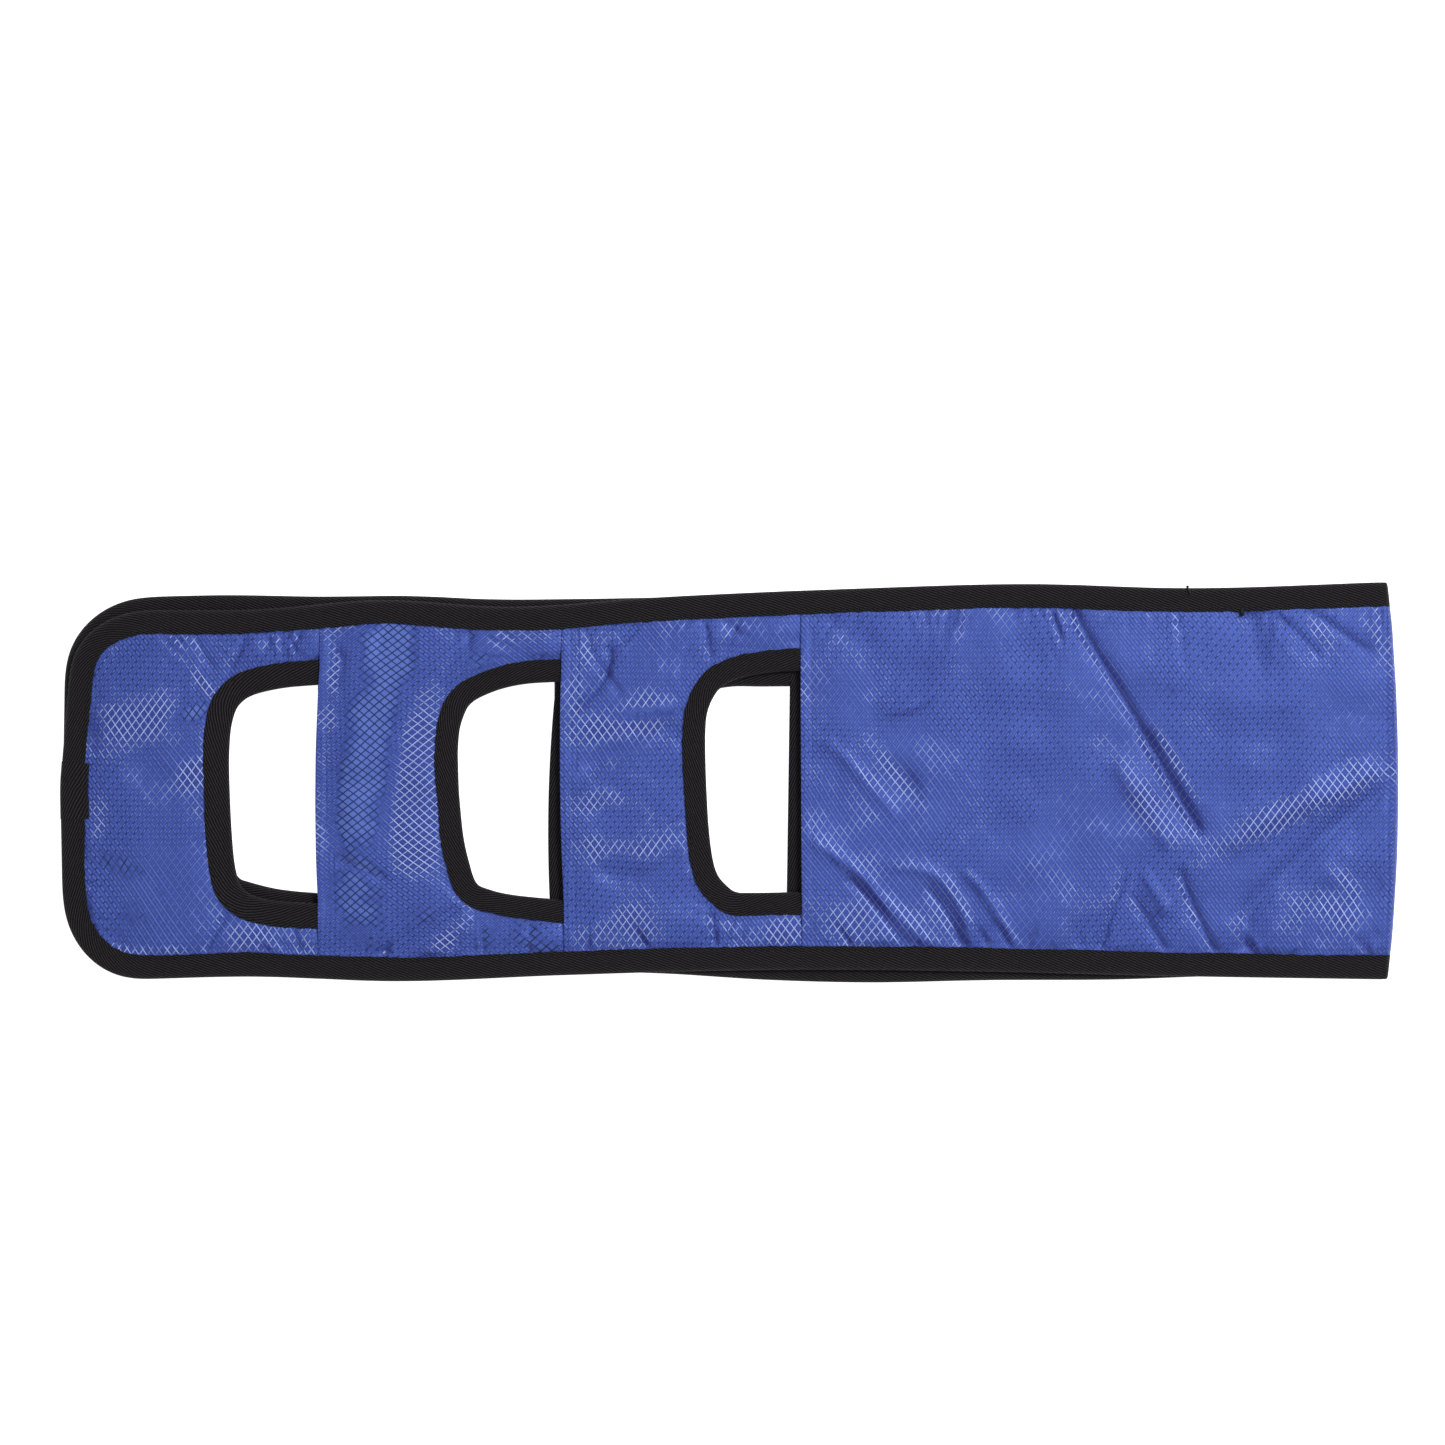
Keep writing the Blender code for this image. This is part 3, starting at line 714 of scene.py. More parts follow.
def sewing_thread(name, light, dark):
    material, tree = cloth_material(name, Roughness=0.6, Sheen_Weight=0.05, Specular_IOR_Level=0.3)
    u, v = pattern_map(tree)
    phase = maths(tree, "ADD", maths(tree, "MULTIPLY", u, 2.2), v)
    ply = maths(tree, "MULTIPLY", maths(tree, "PINGPONG", phase, 0.5), 2.0)
    wire(tree, mix(tree, ply, linear(dark), linear(light)), ply, 0.06, 0.7)
    return material


LINING_WEAVE = plain_weave("plain_weave_nylon_blue", "#4A63AE", "#2F4690", 0.7)
WADDING = wadding("bonded_polyester_wadding", "#C9CACD", "#9A9BA0")
BLUE_THREAD = sewing_thread("polyester_thread_blue", "#7E95DA", "#3C52A4")
BLACK_THREAD = sewing_thread("polyester_thread_black", "#0C0B0D", "#050405")

# %% [markdown]
# ## The ripstop panels
# The outer cloth is one centre panel, which runs over the fold, and three handle panels in each
# half. Each panel's outer end is turned under for a hem, and the next panel's straps are caught
# beneath it, so a hem shows as a raised strip with a stitched groove beside it. The edges are
# tucked into the tapes, deep enough that no cut edge shows.

# %% Panels
TUCK = 5.0
HEM_TURN = 9.0
HEM_STITCH = 4.9
HEM_STEP = 0.95
HEM_LAYERS = 0.45
STRAP_TUCK = 3.0
BELT_WIDTH = 190
DIAMOND = (4.2, 5.7)
WIDE_DIAMOND = (5.15, 4.2)
HEM_WAVES = {
    ("upper", 1): (-1.9, 0.008, 0.0005), ("upper", 2): (-1.0, -0.0102, 0.00035),
    ("upper", 3): (0.0, -0.005, 0.0), ("lower", 1): (0.6, 0.0, 0.0),
    ("lower", 2): (-2.15, 0.035, 0.0007), ("lower", 3): (-0.65, 0.0145, 0.0),
}


def hem_edge(half, n, y):
    """The hem's line, sewn a little crooked: x = hem + a + b y + c y^2, held still near the edges."""
    a, b, c = HEM_WAVES[half, n]
    y = np.clip(y, -58, 58)
    return HEMS[half][n] + a + b * y + c * y * y


def hem_profile(u):
    """Height added over the hem, u mm in from its edge: a soft strip, then a groove under the stitches."""
    strip = 0.22 * np.sin(math.pi * np.clip(u / HEM_STITCH, 0, 1)) * (u > 0)
    return strip - 0.4 * np.exp(-((u - HEM_STITCH) / 0.7) ** 2)


def hem_start():
    """Rows of a turned hem, as (distance in from the edge, height below the top layer): the part
    folded under, a half circle at the edge, and the first rows on top."""
    a = np.radians([-90, -45, 0, 45, 90])
    radius = HEM_LAYERS / 2
    under = [(HEM_TURN, -HEM_LAYERS), (6.5, -HEM_LAYERS), (4.0, -HEM_LAYERS), (1.5, -HEM_LAYERS)]
    bend = list(zip(radius * (1 - np.cos(a)), radius * (np.sin(a) - 1)))
    return np.array(under + bend)


# The key light's direction across the floor; with the gain below it turns slopes into painted highlight and
# painted shade in the ripstop's colour.
KEY_WAY = np.array([0.62, 0.5])
TILT_GAIN = 2.1

# Patches of painted light on the thick threads, painted highlight above zero and navy painted shade
# below: middle, half lengths, turn in degrees, amount.
PAINTED_LIGHT_PATCHES = [
    (222, 12, 24, 3, -60, 1.1), (193, 55, 22, 2.5, -62, 0.7),
    (209, -14, 26, 8, -56, 0.8), (286, -12, 50, 9, 26, 0.9), (297, -62, 24, 15, 0, 0.55),
    (68, -70, 26, 12, 0, 0.7), (180, -58, 12, 12, 0, 0.35),
    (205, 28, 58, 4, -62, -0.5), (85, 4, 18, 5, -50, 0.7),
    (60, -5, 20, 8, -35, 0.3), (296, 74, 14, 4, -51, 0.7), (325, 73, 12, 5, -61, 0.7),
    (110, -62, 14, 10, -50, 0.5), (45, 50, 10, 30, 0, 0.2),
    (-178, 12, 14, 70, -8, -1.15), (-165, 68, 20, 16, 0, -0.8), (-157, -6, 13, 54, -5, 1.25),
    (-199, 20, 6, 60, -4, 0.45), (-168, -62, 22, 16, 0, -0.7), (-139, -76, 12, 6, 40, 0.9),
    (-110, -74, 24, 10, 0, -0.5), (-112, 66, 24, 10, 0, -0.4), (-106, 70, 20, 7, 0, 0.5),
    (-150, 72, 12, 8, 0, 0.3),
    (-50, 31, 30, 9, 16, 0.9), (-38, 35, 20, 3.5, 6, -1.4), (-64, -9, 17, 6, 0, 0.7),
    (-55, -32, 28, 8, 0, 0.7), (-52, -74, 26, 13, 0, 0.7), (28, -76, 10, 8, 0, 0.7),
    (-72, 58, 5, 15, -20, 0.5), (10, -78, 12, 6, 0, 0.4),
    (-298, 29, 24, 16, 22, 0.8), (-268, 34, 12, 5, 20, -0.9), (-269, 2, 8, 10, -50, 0.8),
    (-314, -15, 6, 10, 0, 0.6), (-262, 50, 12, 3, -52, 0.8), (-292, -84, 30, 3, 0, 0.7),
    (-290, -52, 30, 22, 0, -0.3), (-238, -79, 14, 7, 0, 0.7), (-209, -83, 6, 5, 0, 0.6),
]


def slopes(X, Y, R):
    """Rise of R per mm along X and along Y, on a grid whose rows and columns aren't straight."""
    xi, xj = np.gradient(X)
    yi, yj = np.gradient(Y)
    ri, rj = np.gradient(R)
    size = xi * yj - xj * yi
    size = np.where(np.abs(size) < 1e-3, 1e-3, size)
    return (ri * yj - rj * yi) / size, (rj * xi - ri * xj) / size


def lustre(X, Y, R):
    """The tilt of the cloth towards the key light, and the painted light of its thick threads, from -1,
    navy painted shade, to 1, white painted highlight: that same tilt, plus listed patches of both."""
    rise_x, rise_y = slopes(X, Y, R)
    tilt = -TILT_GAIN * (rise_x * KEY_WAY[0] + rise_y * KEY_WAY[1])
    thread_highlight_and_shade = tilt + 0.1 * swell(X, Y, 21, 14, 45)
    for x, y, long, wide, turn, amount in PAINTED_LIGHT_PATCHES:
        c, s = math.cos(math.radians(turn)), math.sin(math.radians(turn))
        a = ((X - x) * c + (Y - y) * s) / long
        b = ((Y - y) * c - (X - x) * s) / wide
        thread_highlight_and_shade += amount * np.exp(-(a * a + b * b) ** 1.3)
    return np.clip(tilt, -1, 1), np.clip(thread_highlight_and_shade, -1, 1)


def weave_map(X, Y, diamond):
    """Diamond counts: u = X / width + Y / height, v = X / width - Y / height, on slightly pulled cloth."""
    pulled_x = X + 0.5 * swell(X, Y, 41, 40, 90)
    pulled_y = Y + 0.5 * swell(X, Y, 42, 40, 90)
    across, up = pulled_x / diamond[0], pulled_y / diamond[1]
    return np.stack([across + up, across - up], -1).reshape(-1, 2)


far_tuck, near_tuck = inset_edge(1, TUCK), inset_edge(-1, TUCK)


def spread(X, near, far, count):
    """Y on a grid whose rows go at each X from the near line to the far one, in even steps."""
    return near(X)[:, None] + (far(X) - near(X))[:, None] * np.linspace(0, 1, count)


def ripstop_piece(name, X, Y, R, painted_light_maps, quads, diamond):
    """One cut of ripstop with its weave map and two values for painted light and shade; also the area of the
    cut.
    """
    points = settle(X, Y, R).reshape(-1, 3)
    piece, used = make_piece(name, points, quads, weave_map(X, Y, diamond), materials=[RIPSTOP])
    for number, values in zip(("tilt", "thread_highlight_and_shade"), painted_light_maps):
        layer = piece.data.attributes.new(number, "FLOAT", "POINT")
        layer.data.foreach_set("value", values.ravel()[used].astype(np.float32))
    return thicken(piece, CLOTH), area_mm2(X, Y, quads)


def kept_quads(quads, X, Y, holes):
    """Leaves out the quads that lie in a hand hole or nearer to its edge than the tuck."""
    x, y = X.ravel()[quads].mean(1), Y.ravel()[quads].mean(1)
    keep = np.ones(len(quads), bool)
    for half, n in holes:
        distance, _ = nearest(x, y, hole_line(half, n, extra=5.0))
        keep &= ~in_hole(half, n, x, y) & (distance > TUCK - 1)
    return keep


def panel_rows(half, n, step):
    """Places along one panel (in the half's own x) with the height below the top layer, and which
    ends are hems: the outer end is a turned hem, except on panel 1, which ends in the tape."""
    right = HEMS[half][n] + STRAP_TUCK
    if n == 1:
        left = box_mm(f"{half}_end_tape")[0][0] + TUCK + 0.6
        return np.linspace(left, right, int((right - left) / step)), None, None
    left = HEMS[half][n - 1]
    start = hem_start()
    top = np.linspace(left + 0.8, right, int((right - left) / step))
    return np.concatenate([left + start[:, 0], top]), start, n - 1


def panel_shell(half, n, step_x, step_y, diamond):
    """One handle panel of ripstop: a grid across the belt, its hem turned under, its hole left out."""
    x, start, hem = panel_rows(half, n, step_x)
    Y = spread(flat_x(half, x), near_tuck, far_tuck, int(BELT_WIDTH / step_y))
    u = ((x - x.min()) / (x.max() - x.min()))[:, None]
    x = x[:, None] + (hem_edge(half, n, Y) - HEMS[half][n]) * u
    if hem is not None:
        x = x + (hem_edge(half, hem, Y) - HEMS[half][hem]) * (1 - u)
    X = flat_x(half, x)
    R, gap = cloth_height(X, Y, [(half, n)])
    painted_light_maps = lustre(X, Y, R)
    if hem is not None:
        R = R + hem_profile(x - hem_edge(half, hem, Y)) * np.clip(gap / 3, 0, 1)
        R[:len(start)] = R[len(start)] + start[:, 1, None]
    before = np.clip(hem_edge(half, n, Y) - x, 0, None)
    R = R - HEM_STEP * np.exp(-before / 2.2)
    quads, _ = grid_quads(*X.shape)
    quads = quads[kept_quads(quads, X, Y, [(half, n)])]
    if half == "lower":
        quads = quads[:, ::-1]
    piece, area = ripstop_piece(f"{half}_ripstop_panel_{n}", X, Y, R, painted_light_maps, quads, diamond)
    return piece, area, (np.ptp(X) + HEM_TURN, np.ptp(Y))


def centre_shell(step_x, step_y, diamond):
    """The centre panel: hem, upper side, round the fold, lower side, hem, all one grid."""
    left, right = HEMS["upper"][3], flat_x("lower", HEMS["lower"][3])
    start = hem_start()
    top = np.linspace(left + 0.8, FOLD_START, int((FOLD_START - left) / step_x))
    bend = np.linspace(FOLD_START, FOLD_START + FOLD_LENGTH, 14)[1:]
    under = np.linspace(FOLD_START + FOLD_LENGTH, right - 0.8, int((FOLD_START - left) / 3.4))[1:]
    x = np.concatenate([left + start[:, 0], top, bend, under, right - start[::-1, 0]])
    Y = spread(x, near_tuck, far_tuck, int(BELT_WIDTH / step_y))
    u = ((x - x.min()) / (x.max() - x.min()))[:, None]
    shift = (hem_edge("upper", 3, Y) - left) * (1 - u) ** 2
    X = x[:, None] + shift - (hem_edge("lower", 3, Y) - HEMS["lower"][3]) * u**2
    R, gap = cloth_height(X, Y)
    painted_light_maps = lustre(X, Y, R)
    held = np.clip(gap / 3, 0, 1)
    R = R + hem_profile(X - hem_edge("upper", 3, Y)) * held
    R = R + hem_profile(flat_x("lower", hem_edge("lower", 3, Y)) - X) * held
    R[:len(start)] = R[len(start)] + start[:, 1, None]
    R[-len(start):] = R[-len(start) - 1] + start[::-1, 1, None]
    quads, _ = grid_quads(*X.shape)
    piece, area = ripstop_piece("ripstop_centre_panel", X, Y, R, painted_light_maps, quads, diamond)
    return piece, area, (np.ptp(X) + 2 * HEM_TURN, np.ptp(Y))


# %% Bodies, and who sews to whom
BODY = {1: "upper_panel_1", 2: "upper_panel_2", 3: "upper_panel_3", 0: "upper_centre"}
NEXT = {1: BODY[2], 2: BODY[3], 3: BODY[0]}
SHELL_ROOM = 1.8
LINER_ROOM = 0.8


def attach(piece, half, n, room=0.9 * CLEARANCE):
    """Lower pieces ride the lower half. Every other piece only has its placing baked into its mesh.
    The room is not used."""
    if n == 0:
        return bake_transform(piece)
    if half == "lower":
        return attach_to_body(piece, "lower_half")
    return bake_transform(piece)


def sew_on(piece, slot, nodes, half, n, **room):
    """Hides the frame nodes that a piece stands for, and hands the piece to attach. The slot is not used."""
    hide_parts(*nodes)
    attach(piece, half, n, **room)


def declare_sheet(piece, area, size):
    """Prints the flat cut of a cloth panel, in millimetres and square centimetres."""
    print(piece.name, "cut from", round(size[0]), "x", round(size[1]), "mm,", round(area / 100), "cm2")


SHEETS = []
centre, area, size = centre_shell(1.3, 1.6, DIAMOND)
sew_on(centre, "ripstop_shell", ["upper_centre_shell", "lower_centre_shell"], "upper", 0, room=SHELL_ROOM)
SHEETS.append((centre, area, size, "centre_wadding"))
for half in ("upper", "lower"):
    for n in (1, 2, 3):
        diamond = WIDE_DIAMOND if n == 2 else DIAMOND
        steps = (1.2, 1.4) if half == "upper" else (2.2, 2.6)
        panel, area, size = panel_shell(half, n, *steps, diamond)
        sew_on(panel, "ripstop_shell", [f"{half}_panel_{n}_shell"], half, n)
        SHEETS.append((panel, area, size, f"{half}_wadding_{n}"))

# %% [markdown]
# ## Lining and wadding
# The lining is the same cut without the crown, because it lies against a leg or the other half. The
# wadding fills what is between: its top follows the ripstop and its bottom the lining, closed by a
# wall round its rim. It is made directly from those two surfaces, so nothing can poke through.

# %% Lining and wadding
LINING_TUCK = 5.5
WADDING_TUCK = 7.0


def plain_grid(half, n, step, tuck, ends):
    """An even grid over a panel's flat cut, with its hole left out: X, Y and quads."""
    far, near = inset_edge(1, tuck), inset_edge(-1, tuck)
    if n == 0:
        left, right = HEMS["upper"][3] + ends[0], flat_x("lower", HEMS["lower"][3] + ends[0])
    else:
        start = HEMS[half][n - 1] if n > 1 else box_mm(f"{half}_end_tape")[0][0] + tuck + 0.6 - ends[0]
        left, right = sorted((flat_x(half, start + ends[0]), flat_x(half, HEMS[half][n] - ends[1])))
    x = np.linspace(left, right, int((right - left) / step))
    Y = spread(x, near, far, int((BELT_WIDTH - 10) / step))
    X = x[:, None] + 0 * Y
    quads, _ = grid_quads(*X.shape)
    holes = [] if n == 0 else [(half, n)]
    return X, Y, quads[kept_quads(quads, X, Y, holes)], holes


def lining_panel(half, n, name):
    X, Y, quads, _ = plain_grid(half, n, 3.0, LINING_TUCK, (0.2, 0.2))
    R = LINING_LEVEL + 0.1 * swell(X, Y, 51, 20, 60)
    points, pattern = settle(X, Y, R).reshape(-1, 3), np.stack([X, Y], -1).reshape(-1, 2)
    piece, _ = make_piece(name, points, quads[:, ::-1], pattern, materials=[LINING_WEAVE])
    return thicken(piece, CLOTH), area_mm2(X, Y, quads), (np.ptp(X), np.ptp(Y))


def wadding_panel(half, n, name):
    """Top and bottom grids, and a wall between them along every edge that only one quad uses."""
    X, Y, quads, holes = plain_grid(half, n, 2.2, WADDING_TUCK, (HEM_TURN + 2, 4.0))
    height, _ = cloth_height(X, Y, holes)
    rim = np.zeros(X.size)
    sides = np.concatenate([quads[:, [k, (k + 1) % 4]] for k in range(4)])
    _, first, uses = np.unique(np.sort(sides, axis=1), axis=0, return_index=True, return_counts=True)
    border = sides[first[uses == 1]]
    rim[border.ravel()] = 1
    rim = rim.reshape(X.shape)
    low = [np.roll(height, shift, axis) for axis in (0, 1) for shift in (-1, 1)]
    top = np.minimum.reduce([height, *low]) - 0.85 - 0.4 * rim
    bottom = np.full(X.shape, PAD_FLOOR + 0.05) + 0.3 * rim
    points = np.concatenate([settle(X, Y, top).reshape(-1, 3), settle(X, Y, bottom).reshape(-1, 3)])
    wall = np.stack([border[:, 1], border[:, 0], border[:, 0] + X.size, border[:, 1] + X.size], -1)
    faces = np.concatenate([quads, quads[:, ::-1] + X.size, wall])
    piece, _ = make_piece(name, points, faces, materials=[WADDING])
    return piece


for half, n in [("upper", 0)] + [(half, n) for half in ("upper", "lower") for n in (1, 2, 3)]:
    where, tail = ("centre", "") if n == 0 else (half, f"_{n}")
    lining, area, size = lining_panel(half, n, f"{where}_lining_cloth{tail}")
    wad = wadding_panel(half, n, f"{where}_wadding{tail}")
    for piece, part in ((lining, "lining"), (wad, "padding")):
        both_halves = [f"{h}_centre_{part}" for h in ("upper", "lower")]
        nodes = both_halves if n == 0 else [f"{half}_panel_{n}_{part}"]
        sew_on(piece, part, nodes, half, n, room=LINER_ROOM)
    SHEETS.append((lining, area, size, wad.name))

for piece, area, size, rests_on in SHEETS:
    declare_sheet(piece, area, size)

# %% [markdown]
# ## Binding tape
# The tape is 25 mm twill folded over the edge, so 12 mm shows on each side. Its section is a long
# narrow U, pinched towards the edge where the wadding ends. It could be bent strip by strip, but a
# section carried along the outline does it at once, and the pattern map gets millimetres along and
# across for free. A row of lockstitches holds it, a little in from its inner border.

# %% The tape's section
def tape_section():
    """A closed loop of (offset in from the edge, height): the middle line runs along the top leg,
    round half an ellipse and back, and the two skins lie half a thickness to each side of it."""
    middle = (TAPE_TOP + TAPE_FLOOR) / 2
    tall = (TAPE_TOP - TAPE_FLOOR - TAPE_THICKNESS) / 2
    leg = np.array([TAPE_WIDTH, 11.4, 9.5, 7.5, 5.5, 3.8])
    pinch = tall - 0.5 * (1 - leg / TAPE_WIDTH) ** 1.5
    a = np.radians(np.linspace(80, -80, 9))
    reach = 2.6
    bend = np.stack([reach + TAPE_THICKNESS / 2 - reach * np.cos(a), (tall - 0.42) * np.sin(a)], -1)
    line = np.concatenate([np.stack([leg, pinch], -1), bend, np.stack([leg, -pinch], -1)[::-1]])
    normal = left_of(line) * TAPE_THICKNESS / 2
    loop = np.concatenate([line - normal, (line + normal)[::-1]])
    return loop + [0, middle]


SECTION = tape_section()
SECTION_RUN = running_length(SECTION)
LEG_TOP = SECTION[:, 1].max()
print("tape section of", len(SECTION), "points, top at", round(float(LEG_TOP), 2))


def stitches(line, heights, length, pitch, radius, lift):
    """Stitches along a line: each a short round thread, 5 rings of 6 points, thickest in the middle
    and dipping into the cloth at both ends: radius * sqrt(1 - 0.8 u^2), sunk by lift * u^2."""
    run = running_length(line)
    s = np.arange(pitch / 2, run[-1] - pitch / 3, pitch)
    centre = np.stack([np.interp(s, run, line[:, k]) for k in (0, 1)], -1)
    along = np.stack([np.interp(s, run, np.gradient(line[:, k], run)) for k in (0, 1)], -1)
    along /= np.linalg.norm(along, axis=1, keepdims=True)
    side = np.stack([-along[:, 1], along[:, 0]], -1)
    height = np.interp(s, run, heights)
    u = np.linspace(-1, 1, 5)
    around = np.radians(np.arange(6) * 60)
    thick = radius * np.sqrt(1 - 0.8 * u**2)
    out = thick[:, None] * np.cos(around)
    up = thick[:, None] * np.sin(around) - (lift * u**2)[:, None]
    place = (centre[:, None, None, :] + along[:, None, None, :] * (u * length / 2)[None, :, None, None]
             + side[:, None, None, :] * out[None, :, :, None])
    R = height[:, None, None] + up[None]
    one, one_map = grid_quads(5, 6, ring=True)
    quads = (one[None] + 30 * np.arange(len(s))[:, None, None]).reshape(-1, 4)
    grid = np.stack(np.meshgrid(u * length / 2, np.linspace(0, 1, 7), indexing="ij"), -1).reshape(-1, 2)
    corners = np.tile(grid[one_map].reshape(-1, 2), (len(s), 1))
    return place[..., 0].ravel(), place[..., 1].ravel(), R.ravel(), quads, corners


STITCH, STITCH_PITCH = 2.4, 3.1
STITCH_INSET = 1.9


def bound_tape(name, line, inward, dip=0.0, start=0.0, width=TAPE_WIDTH, section=SECTION):
    """The section carried along a line: offset along the inward normal, height unchanged except where
    an end dips under a hem. Stitches on both legs join the same mesh."""
    run = running_length(line)
    normal = left_of(line) * inward
    wander = 0.009 * ripple(run + start, 70, 4, 14) + 0.011 * ripple(run + start, 90, 30, 90)
    stretch = 1 + (width / TAPE_WIDTH + wander - 1)[:, None] * np.clip((section[:, 0] - 4) / 6, 0, 1)
    offset = section[:, 0] * stretch
    ends = np.exp(-run / 3.5) + np.exp(-(run[-1] - run) / 3.5)
    height = section[:, 1] - dip * ends[:, None] * (section[:, 1] > 2)
    X = line[:, 0, None] + normal[:, 0, None] * offset
    Y = line[:, 1, None] + normal[:, 1, None] * offset
    quads, corners = grid_quads(*X.shape, ring=True)
    columns = X.shape[1]
    around = np.append(SECTION_RUN, SECTION_RUN[-1] + TAPE_THICKNESS)
    pattern = np.stack(np.meshgrid(run, around, indexing="ij"), -1).reshape(-1, 2)
    pattern = pattern[corners].reshape(-1, 2)
    j = np.arange(columns // 2 - 1)
    cap = np.stack([j, j + 1, columns - 2 - j, columns - 1 - j], -1)
    caps = np.concatenate([cap, cap[:, ::-1] + columns]) + X.size
    if inward > 0:
        quads, caps = quads[:, ::-1], caps[:, ::-1]
        pattern = pattern.reshape(-1, 4, 2)[:, ::-1].reshape(-1, 2)
    flat = tuple([grid.ravel(), grid[[0, -1]].ravel()] for grid in (X, Y, height))
    faces, maps = [quads, caps], [pattern, np.zeros((caps.size, 2))]
    kinds = [np.zeros(len(quads) + len(caps))]
    seam = line + normal * (width - STITCH_INSET)
    for surface, sink in ((LEG_TOP + 0.02, 1), (TAPE_FLOOR - 0.02, -1)):
        level_line = surface - (dip * ends if sink > 0 else 0 * ends)
        x, y, r, q, c = stitches(seam, level_line, STITCH, STITCH_PITCH, 0.2, 0.22 * sink)
        faces.append(q + sum(len(part) for part in flat[0]))
        for store, part in zip(flat, (x, y, r)):
            store.append(part)
        maps.append(c)
        kinds.append(np.ones(len(q)))
    X, Y, R = (np.concatenate(part) for part in flat)
    faces = np.concatenate(faces)
    piece, _ = make_piece(
        name, settle(X, Y, R), faces, np.concatenate(maps), np.arange(faces.size).reshape(-1, 4),
        [TWILL, BLACK_THREAD], np.concatenate(kinds))
    return piece


# %% Edge tapes
UPPER = {n: HEMS["upper"][n] for n in (1, 2, 3)}
LOWER_END = flat_x("lower", HEMS["lower"][1])
for side, word in ((1, "far"), (-1, "near")):
    stations = [edge_place(X, side) for X in (LOWER_END, UPPER[3], UPPER[2], UPPER[1])]
    spans = [tuple(stations[k:k + 2]) if side > 0 else tuple(stations[k:k + 2][::-1]) for k in range(3)]
    for (start, stop), n in zip(spans, (0, 3, 2)):
        line = edge_piece(start, stop, 1.6)
        label = "centre" if n == 0 else f"panel_{n}"
        tape = bound_tape(f"{word}_binding_{label}", line, 1, start=start)
        nodes = [f"upper_{label}_{word}_edge_tape"] + [f"lower_{word}_edge_tape"] * (n == 0)
        sew_on(tape, "twill_tape", nodes, "upper", n)
for half, X, first in (("upper", UPPER[1], 1), ("lower", LOWER_END, -1)):
    start = edge_place(X, first)
    tape = bound_tape(f"{half}_end_binding", edge_piece(start, edge_place(X, -first), 1.4), 1, start=start)
    sew_on(tape, "twill_tape", [f"{half}_end_tape"], half, 1)

# %% The lap of the tape
# The binding starts and stops at the outer end of the upper half, where its two ends lap.
LAP = 0.22
LAP_WIDER = 2.2


def lapped_section():
    """The tape's section a little larger all round, so that it sits on top of the tape below it."""
    middle = (TAPE_TOP + TAPE_FLOOR) / 2
    grown = (SECTION[:, 1] - middle) * (1 + 2 * LAP / (TAPE_TOP - TAPE_FLOOR)) + middle
    return np.stack([SECTION[:, 0] - LAP * (1 - SECTION[:, 0] / TAPE_WIDTH), grown], -1)


left_edge = np.where(EDGE[:, 0] < box_mm("upper_end_tape")[0][0] + 8)[0]
lap_start, lap_stop = (EDGE_RUN[left_edge[np.argmin(np.abs(EDGE[left_edge, 1] - y))]] for y in (11, -18))
lap = bound_tape(
    "upper_end_binding_lap", edge_piece(lap_start, lap_stop, 1.0), 1, start=lap_start,
    width=TAPE_WIDTH + LAP_WIDER, section=lapped_section())
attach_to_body(lap, BODY[1])

# %% Loose ends of thread
def thread_tail(name, points, radius):
    """A short end of thread: a ring of 8 points carried along a curve in space, and tapered at its tip."""
    path = np.array(points, float)
    t = np.linspace(0, len(path) - 1, 18)
    line = np.stack([np.interp(t, np.arange(len(path)), path[:, k]) for k in range(3)], -1)
    line[1:-1] = (line[:-2] + line[1:-1] + line[2:]) / 3
    way = np.gradient(line, axis=0)
    way /= np.linalg.norm(way, axis=1, keepdims=True)
    side = np.cross(way, [0.3, 0.2, 1.0])
    side /= np.linalg.norm(side, axis=1, keepdims=True)
    up = np.cross(side, way)
    a = np.radians(np.arange(8) * 45)
    thick = radius * np.clip((1 - t / t[-1]) * 4, 0.2, 1)[:, None, None]
    rings = line[:, None] + thick * (side[:, None] * np.cos(a)[:, None] + up[:, None] * np.sin(a)[:, None])
    quads, corners = grid_quads(len(line), 8, ring=True)
    pattern = np.stack(np.meshgrid(t, np.linspace(0, 1, 9), indexing="ij"), -1).reshape(-1, 2)[corners]
    placed = settle(rings[..., 0], rings[..., 1], rings[..., 2]).reshape(-1, 3)
    corners = np.arange(quads.size).reshape(-1, 4)
    piece, _ = make_piece(name, placed, quads, pattern.reshape(-1, 2), corners, [BLACK_THREAD])
    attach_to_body(piece, BODY[0])


inner = float(inset_edge(1, TAPE_WIDTH)(257.0))
outer = float(inset_edge(1, 0.0)(230.0))
top = TAPE_TOP + 0.1
inner_path = [
    (257.6, inner + 1.2, top - 0.3), (257, inner, top + 0.2), (257.5, inner - 1.3, top + 0.2),
    (256, inner - 2.5, top)]
outer_path = [
    (231.5, outer - 3, top), (230.4, outer - 1, top - 0.2), (229.8, outer + 0.8, top - 1.2),
    (231.2, outer + 0.5, top - 2.2)]
thread_tail("thread_tail_inner", inner_path, 1.1)
thread_tail("thread_tail_outer", outer_path, 0.6)

# %% Hole tapes
HOLE_DIP = {"upper": 0.5, "lower": 1.1}
HOLE_WIDTH = {1: 12.8, 2: 11.3, 3: 11.3}
for half in ("upper", "lower"):
    for n in (1, 2, 3):
        line = hole_line(half, n, step=1.2, extra=1.5)
        name, width = f"{half}_hand_hole_binding_{n}", HOLE_WIDTH[n]
        tape = bound_tape(name, line, -1, HOLE_DIP[half], start=200.0 * n, width=width)
        sew_on(tape, "twill_tape", [f"{half}_hole_{n}_binding"], half, n)

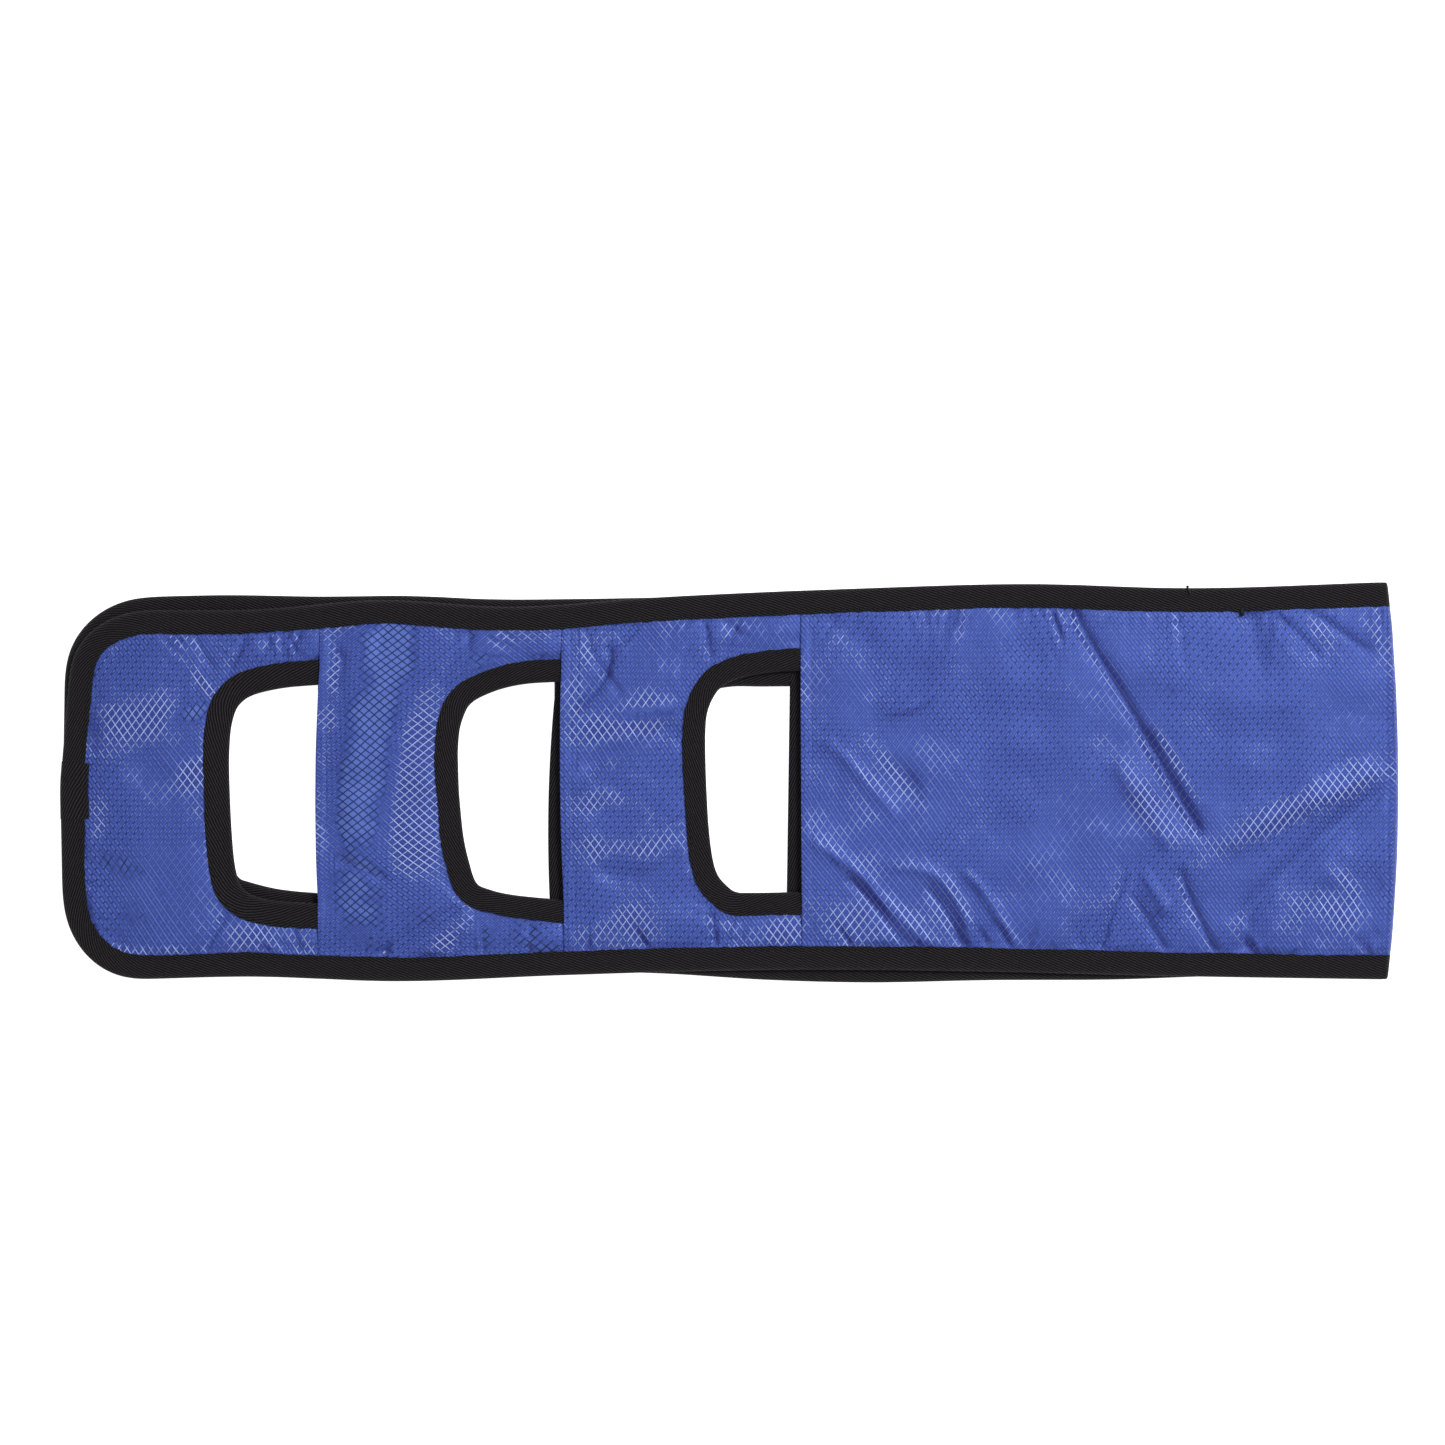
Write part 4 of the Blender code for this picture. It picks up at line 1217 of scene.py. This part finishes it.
# %% [markdown]
# ## Hem tapes and hem stitches
# On the lining side each hem is faced with the same twill, laid flat. On the ripstop side only the
# stitches show: blue thread, pulled tight, lying in the groove that it made.

# %% Hems
HEM_ROOM = 8


def hem_tape(half, n):
    """A flat strip of twill from edge to edge: a rounded rectangle carried along the crooked hem."""
    X = flat_x(half, HEMS[half][n] + TAPE_WIDTH / 2)
    y = np.linspace(near_tuck(X) + HEM_ROOM, far_tuck(X) - HEM_ROOM, 90)
    edge = hem_edge(half, n, y) + (0.2 if half == "upper" else -0.35)
    across = np.array([0, 0.15, 4, 8, 11.7, 11.85, 11.85, 11.7, 8, 4, 0.15, 0])
    up = np.array([0.12, 0, 0, 0, 0, 0.12, 0.45, 0.58, 0.58, 0.58, 0.58, 0.45]) + TAPE_FLOOR
    x = edge[:, None] + across * (1 + 0.01 * ripple(y, 60 + n, 5, 12))[:, None]
    Y, R = y[:, None] + 0 * x, up + 0 * x
    quads, corners = grid_quads(*x.shape, ring=True)
    around = np.append(running_length(np.stack([across, up], -1)), 24.0)
    pattern = np.stack(np.meshgrid(y, around, indexing="ij"), -1).reshape(-1, 2)
    if half == "lower":
        quads, corners = quads[:, ::-1], corners[:, ::-1]
    j = np.arange(5)
    cap = np.stack([j, j + 1, 10 - j, 11 - j], -1)
    cap_map = cap if half == "upper" else cap[:, ::-1]
    caps = np.concatenate([cap_map, cap_map[:, ::-1] + 12 * (len(y) - 1)])
    pattern = np.concatenate([pattern[corners].reshape(-1, 2), np.zeros((caps.size, 2))])
    faces = np.concatenate([quads, caps])
    piece, _ = make_piece(
        f"{half}_hem_facing_{n}", settle(flat_x(half, x), Y, R).reshape(-1, 3), faces, pattern,
        np.arange(faces.size).reshape(-1, 4), [TWILL])
    return piece


def hem_stitching(half, n):
    """A row of stitches in the groove, on the height that the cloth has there."""
    y = np.linspace(-90, 90, 400)
    x = hem_edge(half, n, y) + HEM_STITCH
    X = flat_x(half, x)
    inside = (y > near_tuck(X) + HEM_ROOM) & (y < far_tuck(X) - HEM_ROOM)
    X, y = X[inside], y[inside]
    R, gap = cloth_height(X, y)
    held = np.clip(gap / 3, 0, 1)
    R = R + hem_profile(np.full(y.shape, HEM_STITCH)) * held + CLOTH / 2 + 0.12
    Xs, Ys, Rs, quads, corners = stitches(np.stack([X, y], -1), R, 2.5, 3.2, 0.22, 0.2)
    piece, _ = make_piece(
        f"{half}_hem_stitches_{n}", settle(Xs, Ys, Rs), quads, corners,
        np.arange(quads.size).reshape(-1, 4), [BLUE_THREAD])
    return piece


for half in ("upper", "lower"):
    for n in (1, 2, 3):
        body = "lower_half" if half == "lower" else NEXT[n]
        facing, row = hem_tape(half, n), hem_stitching(half, n)
        for piece, node_name, slot in ((facing, "tape", "twill_tape"), (row, "stitching", "thread")):
            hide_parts(f"{half}_hem_{n}_{node_name}")
            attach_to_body(piece, body)

# %% [markdown]
# ## Floor, light and camera
# The belt lies on a white sweep under a big soft box, with a second box low on the right, which
# rakes across the wrinkles. The camera looks straight down from two metres.

# %% Stage
sweep, _ = cloth_material(
    "white_paper_sweep", Base_Color=linear("#FAFAFA"), Roughness=0.9, Emission_Color=(1, 1, 1, 1),
    Emission_Strength=0.9)
bpy.ops.mesh.primitive_plane_add(size=8, location=(0, 0, -0.0004))
floor = bpy.context.object
floor.name = "white_floor"
floor.data.materials.append(sweep)


def soft_box(name, place, aim, size, power):
    """An area light at a place, turned to face a point."""
    light = bpy.data.lights.new(name, "AREA")
    light.shape = "SQUARE"
    light.size = size
    light.energy = power
    lamp = bpy.data.objects.new(name, light)
    lamp.location = place
    lamp.rotation_euler = (Vector(aim) - Vector(place)).to_track_quat("-Z", "Y").to_euler()
    bpy.context.scene.collection.objects.link(lamp)


soft_box("soft_box_above", (-0.6, -0.6, 2.6), (0, 0, 0), 2.4, 12)
soft_box("soft_box_right", (0.97, 0.78, 2.25), (0.05, 0, 0), 0.7, 39)

world = bpy.data.worlds.new("studio")
bpy.context.scene.world = world
world.use_nodes = True
world.node_tree.nodes["Background"].inputs["Color"].default_value = (1, 1, 1, 1)
world.node_tree.nodes["Background"].inputs["Strength"].default_value = 0.3
bpy.context.scene.view_settings.view_transform = "Standard"

camera = bpy.data.objects.new("camera", bpy.data.cameras.new("camera"))
camera.data.lens = 109.6
camera.data.sensor_width = 36
camera.location = (-0.0025, 0.030, 2.21)
bpy.context.scene.collection.objects.link(camera)
bpy.context.scene.camera = camera
